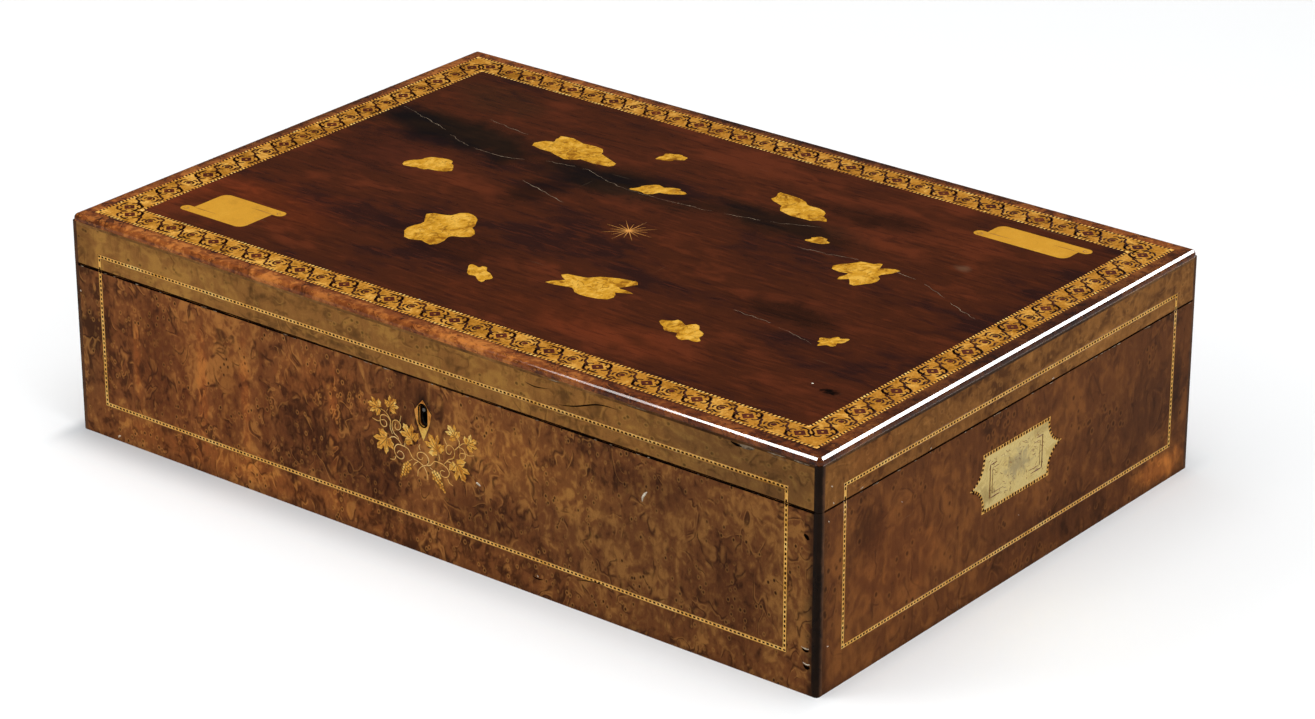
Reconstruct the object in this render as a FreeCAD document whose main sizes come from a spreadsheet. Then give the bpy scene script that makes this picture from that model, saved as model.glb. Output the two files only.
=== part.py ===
import FreeCAD, Part

import math
import os
import random
import re

import Sketcher

# A marquetry box for papers: a veneered case and a hinged lid with a box lock.
# Millimetres. The origin is under the middle of the box, +Z is up, the front faces -Y.

# ---------------------------------------------------------------- driving sizes

SIZES = {
    # whole box
    "box_length": (600.0, "outside, along X"),
    "box_depth": (400.0, "outside, along Y"),
    "box_height": (152.0, "closed, with the lid"),
    "lid_height": (34.0, "from the rim of the case to the top"),
    "seat_gap": (0.3, "lid's lower edge above the rim"),
    "board_thick": (10.0, "carcase boards"),
    "veneer_thick": (1.0, "veneers and what is inlaid in them"),
    "bottom_thick": (8.0, "bottom board"),
    "inlay_proud": (0.05, "how far an inlay stands above its veneer"),
    # corners and chequer lines of the sides
    "corner_size": (4.5, "side of the square corner edging"),
    "corner_round": (2.4, "radius of its outer corner"),
    "stringing_inset": (22.5, "from the edges of each side to the chequer line"),
    "stringing_width": (3.0, "width of the chequer line"),
    # lid
    "moulding_height": (4.7, "rounded edge round the top"),
    "moulding_setback": (0.5, "its outer face behind the sides"),
    "moulding_round": (3.2, "its radius"),
    "edge_line_height": (1.6, "black line under the moulding"),
    "panel_thick": (9.0, "top board"),
    "border_width": (22.0, "marquetry border with its two dotted lines"),
    "border_line_width": (1.5, "each dotted line"),
    # keyhole and its inlay
    "keyhole_drop": (24.0, "middle of the keyhole below the rim"),
    "keyhole_length": (14.5, "top to bottom"),
    "keyhole_width": (6.0, "side to side"),
    "kite_width": (13.6, "escutcheon at its shoulders"),
    "kite_rise": (10.6, "its top above the keyhole's middle"),
    "kite_shoulder": (2.4, "its shoulders above the keyhole's middle"),
    "kite_waist": (9.6, "its waist below the keyhole's middle"),
    "kite_waist_width": (6.4, "its width there"),
    "kite_drop": (17.0, "its lower point below the keyhole's middle"),
    "kite_curve": (36.0, "radius of its flanks"),
    # side plates
    "plaque_drop": (43.0, "middle of the plates below the rim"),
    "plaque_body": (67.4, "plate between its shoulders"),
    "plaque_span": (92.0, "plate from point to point"),
    "plaque_rise": (34.8, "plate top to bottom"),
    "plaque_curve": (17.0, "radius of its hollow ends"),
    "plaque_line": (2.3, "chequer line round the plate"),
    # scrolls on the lid, a wide one and a tall one
    "scroll_curl": (7.2, "how far a rolled end sticks out"),
    "scroll_roll": (8.0, "height of a rolled end"),
    "scroll_round": (6.0, "radius of the plain corners"),
    "tall_scroll_length": (48.5, "front left scroll, without its curls"),
    "tall_scroll_height": (37.2, "front left scroll"),
    "tall_scroll_side": (46.0, "its middle from the border on the left"),
    "tall_scroll_front": (35.0, "its middle from the border in front"),
    "wide_scroll_length": (63.8, "back right scroll, without its curls"),
    "wide_scroll_height": (23.5, "back right scroll"),
    "wide_scroll_side": (55.0, "its middle from the border on the right"),
    "wide_scroll_back": (23.0, "its middle from the border at the back"),
    # compass star
    "star_radius": (18.0, "long rays"),
    "star_short": (12.5, "short rays"),
    "star_core": (1.5, "root circle of the rays"),
    # linings
    "lining_thick": (1.2, "cloth on card"),
    "lining_drop": (3.0, "wall linings below the rim"),
    "lining_window": (1.5, "lining clear of the lock plate"),
    # lock
    "lock_width": (64.0, "lock case"),
    "lock_height": (44.0, "lock case below the rim"),
    "lock_depth": (8.0, "into the front board from inside"),
    "lock_wall": (1.2, "lock case walls"),
    "lock_flange": (7.0, "cover plate and faceplate past the lock case, each side"),
    "lock_plate_height": (50.0, "cover plate below the rim"),
    "lock_plate_thick": (1.2, "cover plate"),
    "lock_clearance": (0.2, "round the lock case in its pocket"),
    "faceplate_thick": (1.5, "plate let into the rim, and the lid's plate"),
    "faceplate_margin": (1.4, "wood left between the plates and the veneer"),
    "drill_pin_radius": (1.2, "pin that a hollow key turns on"),
    "drill_pin_rise": (3.6, "above the keyhole's middle"),
    "drill_pin_sink": (1.0, "its tip behind the front face"),
    # studs of the lid plate and the bolt that hooks them
    "stud_inset": (14.0, "each stud's middle from the end of the lock case"),
    "stud_width": (7.0, "along X"),
    "stud_thick": (3.0, "along Y"),
    "stud_length": (8.5, "below the lid's lower edge"),
    "stud_lip": (1.8, "under the notch"),
    "notch_height": (3.0, "for the bolt's hook"),
    "notch_depth": (4.0, "into the stud"),
    "slot_play": (0.5, "round a stud in the faceplate"),
    "bolt_play": (0.3, "bolt clear of its neighbours"),
    "bolt_travel": (3.2, "unlocked to locked"),
    "bolt_bar": (7.0, "height of the bar"),
    "bolt_column": (4.0, "width of a hook's column"),
    "bolt_run": (0.15, "bolt clear of the lock case's front"),
    "talon_width": (7.0, "notch for the key"),
    "talon_depth": (3.6, "its height"),
    "spring_thick": (0.5, "bow spring"),
    "spring_span": (16.0, "between its feet"),
    "spring_place": (4.0, "its middle along X"),
    # hinges
    "hinge_inset": (110.0, "middle of each hinge from the end of the box"),
    "hinge_length": (60.0, "each hinge"),
    "leaf_thick": (1.5, "each leaf"),
    "leaf_width": (10.0, "let into the wood"),
    "pivot_out": (0.5, "pin's middle behind the back face"),
    "knuckle_radius": (3.0, "outside"),
    "knuckle_clearance": (0.3, "round a knuckle"),
    "knuckle_gap": (0.3, "between knuckles"),
    "pin_radius": (1.3, "hinge pin"),
    "pin_play": (0.05, "pin in the knuckles"),
    # screws
    "head_radius": (2.4, "countersunk heads"),
    "head_depth": (1.4, "depth of the cone"),
    "shank_radius": (1.2, "under the head"),
    "driver_slot": (0.6, "width of the slot"),
    "driver_depth": (0.5, "depth of the slot"),
    "hinge_screw": (9.0, "length"),
    "hinge_screw_pitch": (20.0, "three in each leaf"),
    "hinge_screw_inset": (6.5, "from the back face"),
    "plate_screw": (7.0, "length, lock and lid plates"),
    "cover_screw_high": (14.0, "upper cover plate screws below the rim"),
    "cover_screw_low": (43.0, "lower ones below the rim"),
    "bottom_screw": (20.0, "length"),
}

# Sums that several pieces share, written with the names above.
DERIVED = {
    "wall": "(board_thick + veneer_thick)",
    "joint_height": "(box_height - lid_height)",
    "keyhole_height": "(joint_height - keyhole_drop)",
    "plaque_height": "(joint_height - plaque_drop)",
    "lock_plate_width": "(lock_width + 2 * lock_flange)",
    "stud_offset": "(lock_width / 2 - stud_inset)",
    "hinge_offset": "(box_length / 2 - hinge_inset)",
    "lid_base": "(joint_height + seat_gap)",
    "lid_side_top": "(box_height - moulding_height)",
    "panel_base": "(box_height - veneer_thick - panel_thick)",
    "inside_x": "(box_length / 2 - wall)",
    "inside_y": "(box_depth / 2 - wall)",
    "field_x": "(inside_x - border_width)",
    "field_y": "(inside_y - border_width)",
    "front_inside": "(-inside_y)",
    "pocket_front": "(front_inside - lock_depth)",
    "cover_front": "(front_inside - lock_plate_thick)",
    "works_front": "(pocket_front + lock_wall)",
    "faceplate_base": "(joint_height - faceplate_thick)",
    "plates_front": "(-box_depth / 2 + veneer_thick + faceplate_margin)",
    "bolt_front": "(works_front + bolt_run)",
    "stud_middle": "(bolt_front + stud_thick / 2)",
    "stud_end": "(lid_base - stud_length)",
    "notch_base": "(stud_end + stud_lip)",
    "hook_top": "(notch_base + notch_height - bolt_play)",
    "bar_top": "(stud_end - bolt_play)",
    "spring_rise": "(faceplate_base - bar_top - bolt_play)",
    "spring_radius": "((spring_span ^ 2 / 4 + spring_rise ^ 2) / (2 * spring_rise))",
    "pivot_y": "(box_depth / 2 + pivot_out)",
    "pivot_z": "(joint_height + seat_gap / 2)",
    "knuckle_pitch": "(hinge_length / KNUCKLES)",
    "leaf_back": "(pivot_y - knuckle_radius - knuckle_clearance)",
}

KNUCKLES = 5
HINGE_SIDES = {"left": -1, "right": 1}
LEAF_SCREWS = (-1, 0, 1)

# Vine leaves: middle from the keyhole's middle across and up, radius, tip angle.
LEAVES = (
    (-39.0, -4.5, 5.8, 172),
    (-25.5, 0.0, 5.6, 52),
    (-32.5, -26.0, 8.0, 228),
    (-10.8, -16.4, 7.6, 28),
    (9.4, -18.0, 7.8, 122),
    (24.2, -5.0, 5.7, 132),
    (38.2, -7.8, 5.6, 34),
    (28.6, -28.4, 7.8, 304),
)
# Half of a vine leaf's outline from its tip to the stalk: angle from the tip, share of the radius.
LEAF_HALF = (
    (0, 1.0), (13, 0.85), (21, 0.87), (32, 0.60), (44, 0.85), (56, 1.0), (68, 0.87), (77, 0.88),
    (90, 0.62), (103, 0.82), (118, 0.94), (138, 0.84), (154, 0.72), (168, 0.34),
)
# Grape bunches: top of the bunch from the keyhole's middle, length, greatest width, direction.
BUNCHES = (
    (-11.6, -35.0, 14.4, 7.4, 236),
    (7.4, -34.6, 15.6, 7.4, 307),
)
BUNCH_POINTS = 18

# Golden patches on the lid: middle as shares of the field's half length and half width, half
# length, half width, turn, and the seed of the outline.
ISLANDS = (
    (-0.44, 0.53, 30.0, 15.0, -14, 5),
    (-0.22, 0.71, 10.0, 6.0, 30, 12),
    (-0.11, 0.40, 15.0, 8.0, 24, 23),
    (0.23, 0.59, 26.0, 11.0, -20, 31),
    (0.39, 0.37, 7.5, 5.0, 10, 44),
    (0.59, 0.22, 14.0, 20.0, -8, 52),
    (-0.66, 0.06, 17.0, 11.0, 38, 63),
    (-0.36, -0.42, 21.0, 26.0, 12, 71),
    (-0.11, -0.67, 12.0, 7.0, -32, 84),
    (0.15, -0.50, 27.0, 14.0, 16, 95),
    (0.47, -0.62, 16.0, 10.0, -26, 104),
    (0.77, -0.37, 9.0, 6.0, 52, 113),
)
ISLAND_POINTS = 34
STAR_RAYS = 16

DOC = FreeCAD.newDocument("ditty_box")
SHEET = DOC.addObject("Spreadsheet::Sheet", "Sizes")
PIECES = []


def fill_sheet():
    """Write every driving size with its name and note."""
    for row, (name, (number, note)) in enumerate(SIZES.items(), start=1):
        SHEET.set(f"A{row}", name)
        SHEET.set(f"B{row}", str(number))
        SHEET.set(f"C{row}", note)
        SHEET.setAlias(f"B{row}", name)
    DOC.recompute()


def on_sheet(text):
    """Turn a sum of size names into an expression on the sheet."""
    text = str(text)
    while any(name in DERIVED for name in re.findall(r"[a-z_]+", text)):
        text = re.sub(r"[a-z_]+", lambda found: DERIVED.get(found.group(0), found.group(0)), text)
    text = text.replace("KNUCKLES", str(KNUCKLES))
    return re.sub(r"[a-z_]+", lambda found: "Sizes." + found.group(0), text)


def value(text):
    """Work out a sum of size names as a number."""
    return float(SHEET.evalExpression(on_sheet(text)))


def bind(item, prop, text):
    """Tie one property of an object to a sum of size names."""
    item.setExpression(prop, on_sheet(text))


def place(item, x, y, z):
    """Tie an object's position to three sums."""
    for axis, text in zip("xyz", (x, y, z)):
        bind(item, "Placement.Base." + axis, text)


def piece(label, item):
    """Note a finished sub-part under its own label."""
    item.Label = label
    PIECES.append(item)
    return item


# ---------------------------------------------------------------- small makers

def box(name, low, high):
    """A box between two corners, each of three sums."""
    item = DOC.addObject("Part::Box", name)
    for prop, start, end in zip(("Length", "Width", "Height"), low, high):
        bind(item, prop, f"({end}) - ({start})")
    place(item, *low)
    return item


def centred_box(name, half_x, half_y, low_z, high_z):
    """A box centred on the Z axis."""
    return box(name, (f"-({half_x})", f"-({half_y})", low_z), (half_x, half_y, high_z))


def rod(name, radius, start, length, axis):
    """A cylinder that starts at a point and runs along +X, +Y or +Z."""
    item = DOC.addObject("Part::Cylinder", name)
    turns = {
        "x": FreeCAD.Rotation(FreeCAD.Vector(0, 1, 0), 90),
        "y": FreeCAD.Rotation(FreeCAD.Vector(1, 0, 0), -90),
        "z": FreeCAD.Rotation(),
    }
    item.Placement = FreeCAD.Placement(FreeCAD.Vector(), turns[axis])
    bind(item, "Radius", radius)
    bind(item, "Height", length)
    place(item, *start)
    return item


def group(name, items):
    """Several separate solids as one object."""
    item = DOC.addObject("Part::Compound", name)
    item.Links = list(items)
    return item


def fuse(name, items):
    """Several touching solids joined into one."""
    item = DOC.addObject("Part::MultiFuse", name)
    item.Shapes = list(items)
    return item


def cut(name, base, tool):
    """One object less another."""
    item = DOC.addObject("Part::Cut", name)
    item.Base = base
    item.Tool = tool
    return item


def common(name, first, second):
    """What two objects share."""
    item = DOC.addObject("Part::MultiCommon", name)
    item.Shapes = [first, second]
    return item


def fixed_shape(name, shape):
    """An outline that no primitive makes, as a plain feature."""
    item = DOC.addObject("Part::Feature", name)
    item.Shape = shape
    item.Placement = FreeCAD.Placement()
    return item


# A box on an outer face. run goes along the face, rise up it, and depth inwards from it.
def face_box(name, face, run, rise, depth):
    outer, inner = depth
    if face == "front":
        low = (run[0], f"-box_depth / 2 + {outer}", rise[0])
        high = (run[1], f"-box_depth / 2 + {inner}", rise[1])
    elif face == "left":
        low = (f"-box_length / 2 + {outer}", run[0], rise[0])
        high = (f"-box_length / 2 + {inner}", run[1], rise[1])
    else:
        low = (f"box_length / 2 - ({inner})", run[0], rise[0])
        high = (f"box_length / 2 - ({outer})", run[1], rise[1])
    return box(name, low, high)


FACE_HALF = {"front": "box_length / 2", "left": "box_depth / 2", "right": "box_depth / 2"}


def face_run(face, inset):
    """Both ends of a run that is centred on a face."""
    half = f"({FACE_HALF[face]} - ({inset}))"
    return "-" + half, half


# ---------------------------------------------------------------- sketched outlines

def arc_through(start, end, radius, turn):
    """The minor arc between two points; turn is 1 to bend left and -1 to bend right."""
    middle = (start + end) / 2
    chord = end - start
    rise = math.sqrt(max(radius ** 2 - (chord.Length / 2) ** 2, 0.0))
    side = FreeCAD.Vector(-chord.y, chord.x, 0).normalize() * (rise * turn)
    centre = middle + side
    first, last = (start, end) if turn > 0 else (end, start)
    angles = [math.atan2((point - centre).y, (point - centre).x) for point in (first, last)]
    circle = Part.Circle(centre, FreeCAD.Vector(0, 0, 1), radius)
    return Part.ArcOfCircle(circle, angles[0], angles[1])


def outline(body, plane, corners):
    """Draw a closed outline on one of a body's own planes.

    Each corner is (across, up) or (across, up, radius, turn), where the last two bend the
    edge that leaves it.
    """
    sketch = body.newObject("Sketcher::SketchObject", body.Name + "_outline")
    support = [item for item in body.Origin.OriginFeatures if item.Role == plane][0]
    sketch.AttachmentSupport = (support, [""])
    sketch.MapMode = "FlatFace"
    points = [FreeCAD.Vector(value(corner[0]), value(corner[1]), 0) for corner in corners]
    starts = []
    for index, corner in enumerate(corners):
        begin, end = points[index], points[(index + 1) % len(points)]
        if len(corner) == 2:
            sketch.addGeometry(Part.LineSegment(begin, end), False)
            starts.append((1, 2))
        else:
            sketch.addGeometry(arc_through(begin, end, value(corner[2]), corner[3]), False)
            starts.append((1, 2) if corner[3] > 0 else (2, 1))
            number = sketch.addConstraint(Sketcher.Constraint("Radius", index, value(corner[2])))
            bind(sketch, f"Constraints[{number}]", corner[2])
    for index, corner in enumerate(corners):
        after = (index + 1) % len(corners)
        sketch.addConstraint(
            Sketcher.Constraint("Coincident", index, starts[index][1], after, starts[after][0]))
        for kind, text, own_axis in (("DistanceX", corner[0], -2), ("DistanceY", corner[1], -1)):
            if text == "0":
                sketch.addConstraint(
                    Sketcher.Constraint("PointOnObject", index, starts[index][0], own_axis))
                continue
            number = sketch.addConstraint(
                Sketcher.Constraint(kind, -1, 1, index, starts[index][0], value(text)))
            bind(sketch, f"Constraints[{number}]", text)
    return sketch


def slab(name, plane, corners, thick, at):
    """A body padded from an outline, moved to its place."""
    body = DOC.addObject("PartDesign::Body", name)
    sketch = outline(body, plane, corners)
    pad = body.newObject("PartDesign::Pad", name + "_pad")
    pad.Profile = sketch
    bind(pad, "Length", thick)
    place(body, *at)
    return body


def mirrored_corners(right_side):
    """Close an outline that runs down its right side from the top middle to the bottom middle."""
    left_side = []
    for corner, before in zip(right_side[:0:-1], right_side[-2::-1]):
        mirrored = ("0" if corner[0] == "0" else f"-({corner[0]})", corner[1])
        left_side.append(mirrored + tuple(before[2:]))
    top = left_side.pop(0)
    return list(right_side[:-1]) + [top] + left_side


# ---------------------------------------------------------------- screws

DIRECTIONS = {
    "down": (FreeCAD.Rotation(FreeCAD.Vector(1, 0, 0), 180), "z", -1),
    "up": (FreeCAD.Rotation(), "z", 1),
    "forward": (FreeCAD.Rotation(FreeCAD.Vector(1, 0, 0), 90), "y", -1),
}


def screw(name, at, way, length):
    """A countersunk screw with its head at a point; gives the screw and its uncut blank."""
    turn, letter, sign = DIRECTIONS[way]
    axis = "xyz".index(letter)
    cone = DOC.addObject("Part::Cone", name + "_head")
    shank = DOC.addObject("Part::Cylinder", name + "_shank")
    for item in (cone, shank):
        item.Placement = FreeCAD.Placement(FreeCAD.Vector(), turn)
        place(item, *at)
    bind(cone, "Radius1", "head_radius")
    bind(cone, "Radius2", "shank_radius")
    bind(cone, "Height", "head_depth")
    bind(shank, "Radius", "shank_radius")
    bind(shank, "Height", length)
    blank = fuse(name + "_blank", [cone, shank])
    half = ["head_radius", "driver_slot / 2", "driver_slot / 2"]
    low = [f"{text} - {reach}" for text, reach in zip(at, half)]
    high = [f"{text} + {reach}" for text, reach in zip(at, half)]
    low[axis] = at[axis] if sign > 0 else f"{at[axis]} - driver_depth"
    high[axis] = f"{at[axis]} + driver_depth" if sign > 0 else at[axis]
    return cut(name, blank, box(name + "_slot", low, high)), blank


def screw_row(label, places, way, length):
    """Several screws; gives their group and the group of their blanks."""
    made = [screw(f"{label}_{index}", at, way, length) for index, at in enumerate(places)]
    screws = group(label, [item for item, _ in made])
    blanks = group(label + "_blanks", [blank for _, blank in made])
    return screws, blanks


# ---------------------------------------------------------------- inlays of the sides

def case_stringing(face):
    """The chequer line on the case: up both sides and along the bottom."""
    depth = ("-inlay_proud", "veneer_thick")
    inner = "stringing_inset + stringing_width"
    outside = face_box(f"case_{face}_line_outside", face, face_run(face, "stringing_inset"),
                       ("stringing_inset", "joint_height"), depth)
    inside = face_box(f"case_{face}_line_inside", face, face_run(face, inner),
                      (inner, "joint_height"), depth)
    label = f"case_{face}_stringing"
    return piece(label, cut(label, outside, inside))


def lid_stringing(face):
    """The same line on the lid: up both sides and along the top."""
    depth = ("-inlay_proud", "veneer_thick")
    inner = "stringing_inset + stringing_width"
    outside = face_box(f"lid_{face}_line_outside", face, face_run(face, "stringing_inset"),
                       ("lid_base", "box_height - stringing_inset"), depth)
    inside = face_box(f"lid_{face}_line_inside", face, face_run(face, inner),
                      ("lid_base", f"box_height - ({inner})"), depth)
    label = f"lid_{face}_stringing"
    return piece(label, cut(label, outside, inside))


def keyhole_tool():
    """The keyhole as a solid, right through the front into the lock."""
    side, half = "keyhole_width / 2", "keyhole_length / 2"
    shoulder = "keyhole_length / 2 - keyhole_width / 2"
    corners = mirrored_corners([
        ("0", half, side, -1),
        (side, shoulder),
        (side, f"-({shoulder})", side, -1),
        ("0", f"-({half})"),
    ])
    depth = "lock_depth + wall"
    return slab("keyhole", "XZ_Plane", corners, depth, ("0", "works_front", "keyhole_height"))


def escutcheon_blank():
    """The kite round the keyhole, before the keyhole is cut."""
    corners = mirrored_corners([
        ("0", "kite_rise"),
        ("kite_width / 2", "kite_shoulder", "kite_curve", -1),
        ("kite_waist_width / 2", "-kite_waist"),
        ("0", "-kite_drop"),
    ])
    return slab("escutcheon_blank", "XZ_Plane", corners, "veneer_thick + inlay_proud",
                ("0", "-box_depth / 2 + veneer_thick", "keyhole_height"))


def plaque_corners(margin):
    """A plate with hollow pointed ends, widened by a margin."""
    body, rise = f"plaque_body / 2 + {margin}", f"plaque_rise / 2 + {margin}"
    point = f"plaque_span / 2 + 1.5 * {margin}"
    return [
        (f"-({body})", rise),
        (body, rise, "plaque_curve", 1),
        (point, "0", "plaque_curve", 1),
        (body, f"-({rise})"),
        (f"-({body})", f"-({rise})", "plaque_curve", 1),
        (f"-({point})", "0", "plaque_curve", 1),
    ]


def side_plaque(face):
    """A brass plate; gives the blank that it is let into and the chequer line round it."""
    start = "box_length / 2 - veneer_thick"
    if face == "left":
        start = "-box_length / 2 - inlay_proud"
    at = (start, "0", "plaque_height")
    thick = "veneer_thick + inlay_proud"
    outer = slab(f"{face}_plaque_seat", "YZ_Plane", plaque_corners("plaque_line"), thick, at)
    plate = piece(f"{face}_plaque", slab(f"{face}_plaque", "YZ_Plane", plaque_corners("0"), thick, at))
    return outer, cut(f"{face}_plaque_border", outer, plate)


def flat_plate(points, normal):
    """Extrude a closed run of points to the depth of an inlay."""
    wire = Part.makePolygon(points + [points[0]])
    return Part.Face(wire).extrude(normal * (value("veneer_thick") + value("inlay_proud")))


def spray_point(across, up):
    """A point at the back of the front veneer, measured from the keyhole's middle."""
    return FreeCAD.Vector(across, value("-box_depth / 2 + veneer_thick"), value("keyhole_height") + up)


def leaf_points(across, up, radius, tip):
    """The outline of one vine leaf on the front."""
    right = [(tip - angle, share) for angle, share in LEAF_HALF]
    left = [(tip + angle, share) for angle, share in LEAF_HALF[:0:-1]]
    middle = spray_point(across, up)
    return [
        middle + FreeCAD.Vector(math.cos(math.radians(angle)), 0, math.sin(math.radians(angle)))
        * (radius * share)
        for angle, share in right + left
    ]


def bunch_points(across, up, length, width, direction):
    """The outline of one bunch of grapes, wide near its top and pointed below."""
    way = FreeCAD.Vector(math.cos(math.radians(direction)), 0, math.sin(math.radians(direction)))
    side = FreeCAD.Vector(-way.z, 0, way.x)
    points = []
    for step in range(BUNCH_POINTS):
        angle = 2 * math.pi * step / BUNCH_POINTS
        along = length * (1 - math.cos(angle)) / 2
        reach = width / 2 * math.sin(angle) * (1.3 - 0.75 * along / length)
        points.append(spray_point(across, up) + way * along + side * reach)
    return points


def vine(label, outlines):
    """A group of inlaid pieces of the vine, lined up with the keyhole."""
    outwards = FreeCAD.Vector(0, -1, 0)
    shapes = [flat_plate(points, outwards) for points in outlines]
    return piece(label, fixed_shape(label, Part.makeCompound(shapes)))


# ---------------------------------------------------------------- the case

def corner_edging(name, across, along, base, top, turn):
    """A square strip with a rounded outer corner, turned to one corner of the box."""
    corners = [
        ("0", "corner_round", "corner_round", 1),
        ("corner_round", "0"),
        ("corner_size", "0"),
        ("corner_size", "corner_size"),
        ("0", "corner_size"),
    ]
    body = slab(name, "XY_Plane", corners, f"{top} - {base}", (across, along, base))
    body.Placement = FreeCAD.Placement(FreeCAD.Vector(), FreeCAD.Rotation(FreeCAD.Vector(0, 0, 1), turn))
    place(body, across, along, base)
    return body


CORNERS = (
    ("front_left", "-box_length / 2", "-box_depth / 2", 0),
    ("front_right", "box_length / 2", "-box_depth / 2", 90),
    ("back_right", "box_length / 2", "box_depth / 2", 180),
    ("back_left", "-box_length / 2", "box_depth / 2", 270),
)


def corner_edgings(label, base, top):
    """All four corner strips of the case or of the lid."""
    strips = [corner_edging(f"{label}_{name}", across, along, base, top, turn)
              for name, across, along, turn in CORNERS]
    return piece(label, group(label, strips))


def corner_seats(name, base, top):
    """The four square notches that the corner strips fill."""
    seats = []
    for corner, across, along, _ in CORNERS:
        low_x = across if "left" in corner else f"{across} - corner_size"
        low_y = along if "front" in corner else f"{along} - corner_size"
        high = (f"{low_x} + corner_size", f"{low_y} + corner_size", top)
        seats.append(box(f"{name}_{corner}_seat", (low_x, low_y, base), high))
    return group(name + "_seats", seats)


def hinge_recess(name, base, top):
    """Room for the leaf and the knuckles of both hinges in one edge."""
    rooms = []
    for side, sign in HINGE_SIDES.items():
        start = f"{sign} * hinge_offset - hinge_length / 2"
        low = (start, "box_depth / 2 - leaf_width", base)
        high = (f"{start} + hinge_length", "box_depth / 2", top)
        reach = "knuckle_radius + knuckle_clearance"
        rooms.append(fuse(f"{name}_{side}_room", [
            box(f"{name}_{side}_leaf_room", low, high),
            rod(f"{name}_{side}_knuckle_room", reach, (start, "pivot_y", "pivot_z"), "hinge_length", "x"),
        ]))
    return rooms


def case_boards(lock_room, hinge_blanks, lock_blanks, bottom_blanks):
    """The four walls and the bottom."""
    seats = corner_seats("case", "0", "joint_height")
    rise = ("bottom_thick", "joint_height")
    across = "box_length / 2 - veneer_thick"
    front = box("front_board_blank", (f"-({across})", "-box_depth / 2 + veneer_thick", rise[0]),
                (across, "front_inside", rise[1]))
    back = box("back_board_blank", (f"-({across})", "inside_y", rise[0]),
               (across, "box_depth / 2", rise[1]))
    front = cut("front_board_notched", front, seats)
    front = cut("front_board_pocketed", front, lock_room)
    front = cut("front_board_drilled", front, lock_blanks)
    piece("case_front_board", cut("case_front_board", front, bottom_blanks))
    recess = hinge_recess("case_hinge", "joint_height - leaf_thick", "joint_height")
    back = cut("back_board_notched", back, seats)
    back = cut("back_board_recessed", back, group("case_hinge_rooms", recess))
    back = cut("back_board_drilled", back, hinge_blanks)
    piece("case_back_board", cut("case_back_board", back, bottom_blanks))
    for face in ("left", "right"):
        side = face_box(f"{face}_board_blank", face, ("-inside_y", "inside_y"), rise,
                        ("veneer_thick", "wall"))
        piece(f"case_{face}_board", cut(f"case_{face}_board", side, bottom_blanks))
    bottom = box("bottom_board_blank", (f"-({across})", "-box_depth / 2 + veneer_thick", "0"),
                 (across, "box_depth / 2", "bottom_thick"))
    bottom = cut("bottom_board_notched", bottom, seats)
    piece("case_bottom_board", cut("case_bottom_board", bottom, bottom_blanks))


def bottom_screw_places():
    """Screws up through the bottom into the middle of each wall."""
    front = "-box_depth / 2 + veneer_thick + board_thick / 2"
    back = "box_depth / 2 - wall / 2"
    side = "box_length / 2 - veneer_thick - board_thick / 2"
    places = [(f"{share} * box_length", along, "0") for along in (front, back)
              for share in (-0.42, -0.21, 0.0, 0.21, 0.42)]
    places += [(f"{sign} * ({side})", f"{share} * box_depth", "0") for sign in (-1, 1)
               for share in (-0.3, 0.0, 0.3)]
    return places


def case_veneers(front_inlays, plaque_seats, lines):
    """The veneers of the case, cut for what is let into them."""
    for face in ("front", "left", "right"):
        sheet = face_box(f"case_{face}_veneer_sheet", face, face_run(face, "corner_size"),
                         ("0", "joint_height"), ("0", "veneer_thick"))
        inlays = [lines[face]] + (front_inlays if face == "front" else [plaque_seats[face]])
        tool = group(f"case_{face}_inlays", inlays)
        piece(f"case_{face}_veneer", cut(f"case_{face}_veneer", sheet, tool))


def linings():
    """Cloth-covered cards on the floor and the walls, and under the lid."""
    floor_top = "bottom_thick + lining_thick"
    piece("floor_lining", centred_box("floor_lining", "inside_x", "inside_y", "bottom_thick", floor_top))
    top = "joint_height - lining_drop"
    inner_x, inner_y = "inside_x - lining_thick", "inside_y - lining_thick"
    front = box("front_lining_sheet", ("-inside_x", "front_inside", floor_top),
                ("inside_x", "front_inside + lining_thick", top))
    half = "lock_plate_width / 2 + lining_window"
    window = box("front_lining_window",
                 (f"-({half})", "front_inside", "joint_height - lock_plate_height - lining_window"),
                 (half, "front_inside + lining_thick", top))
    walls = [
        cut("front_lining", front, window),
        box("back_lining", ("-inside_x", inner_y, floor_top), ("inside_x", "inside_y", top)),
        box("left_lining", ("-inside_x", f"-({inner_y})", floor_top),
            (f"-({inner_x})", inner_y, top)),
        box("right_lining", (inner_x, f"-({inner_y})", floor_top), ("inside_x", inner_y, top)),
    ]
    piece("wall_linings", group("wall_linings", walls))
    piece("lid_lining", centred_box("lid_lining", "inside_x", "inside_y",
                                    "panel_base - lining_thick", "panel_base"))


# ---------------------------------------------------------------- the lock

def lock_pocket():
    """The room in the front board for the lock, its cover plate and its faceplate."""
    half = "lock_width / 2 + lock_clearance"
    deep = box("lock_room_deep",
               (f"-({half})", "pocket_front - lock_clearance", "joint_height - lock_height - lock_clearance"),
               (half, "front_inside", "joint_height"))
    cover = box("lock_room_cover",
                ("-lock_plate_width / 2", "cover_front", "joint_height - lock_plate_height"),
                ("lock_plate_width / 2", "front_inside", "joint_height"))
    face = box("lock_room_face", ("-lock_plate_width / 2", "plates_front", "faceplate_base"),
               ("lock_plate_width / 2", "front_inside", "joint_height"))
    return [deep, cover, face]


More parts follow.
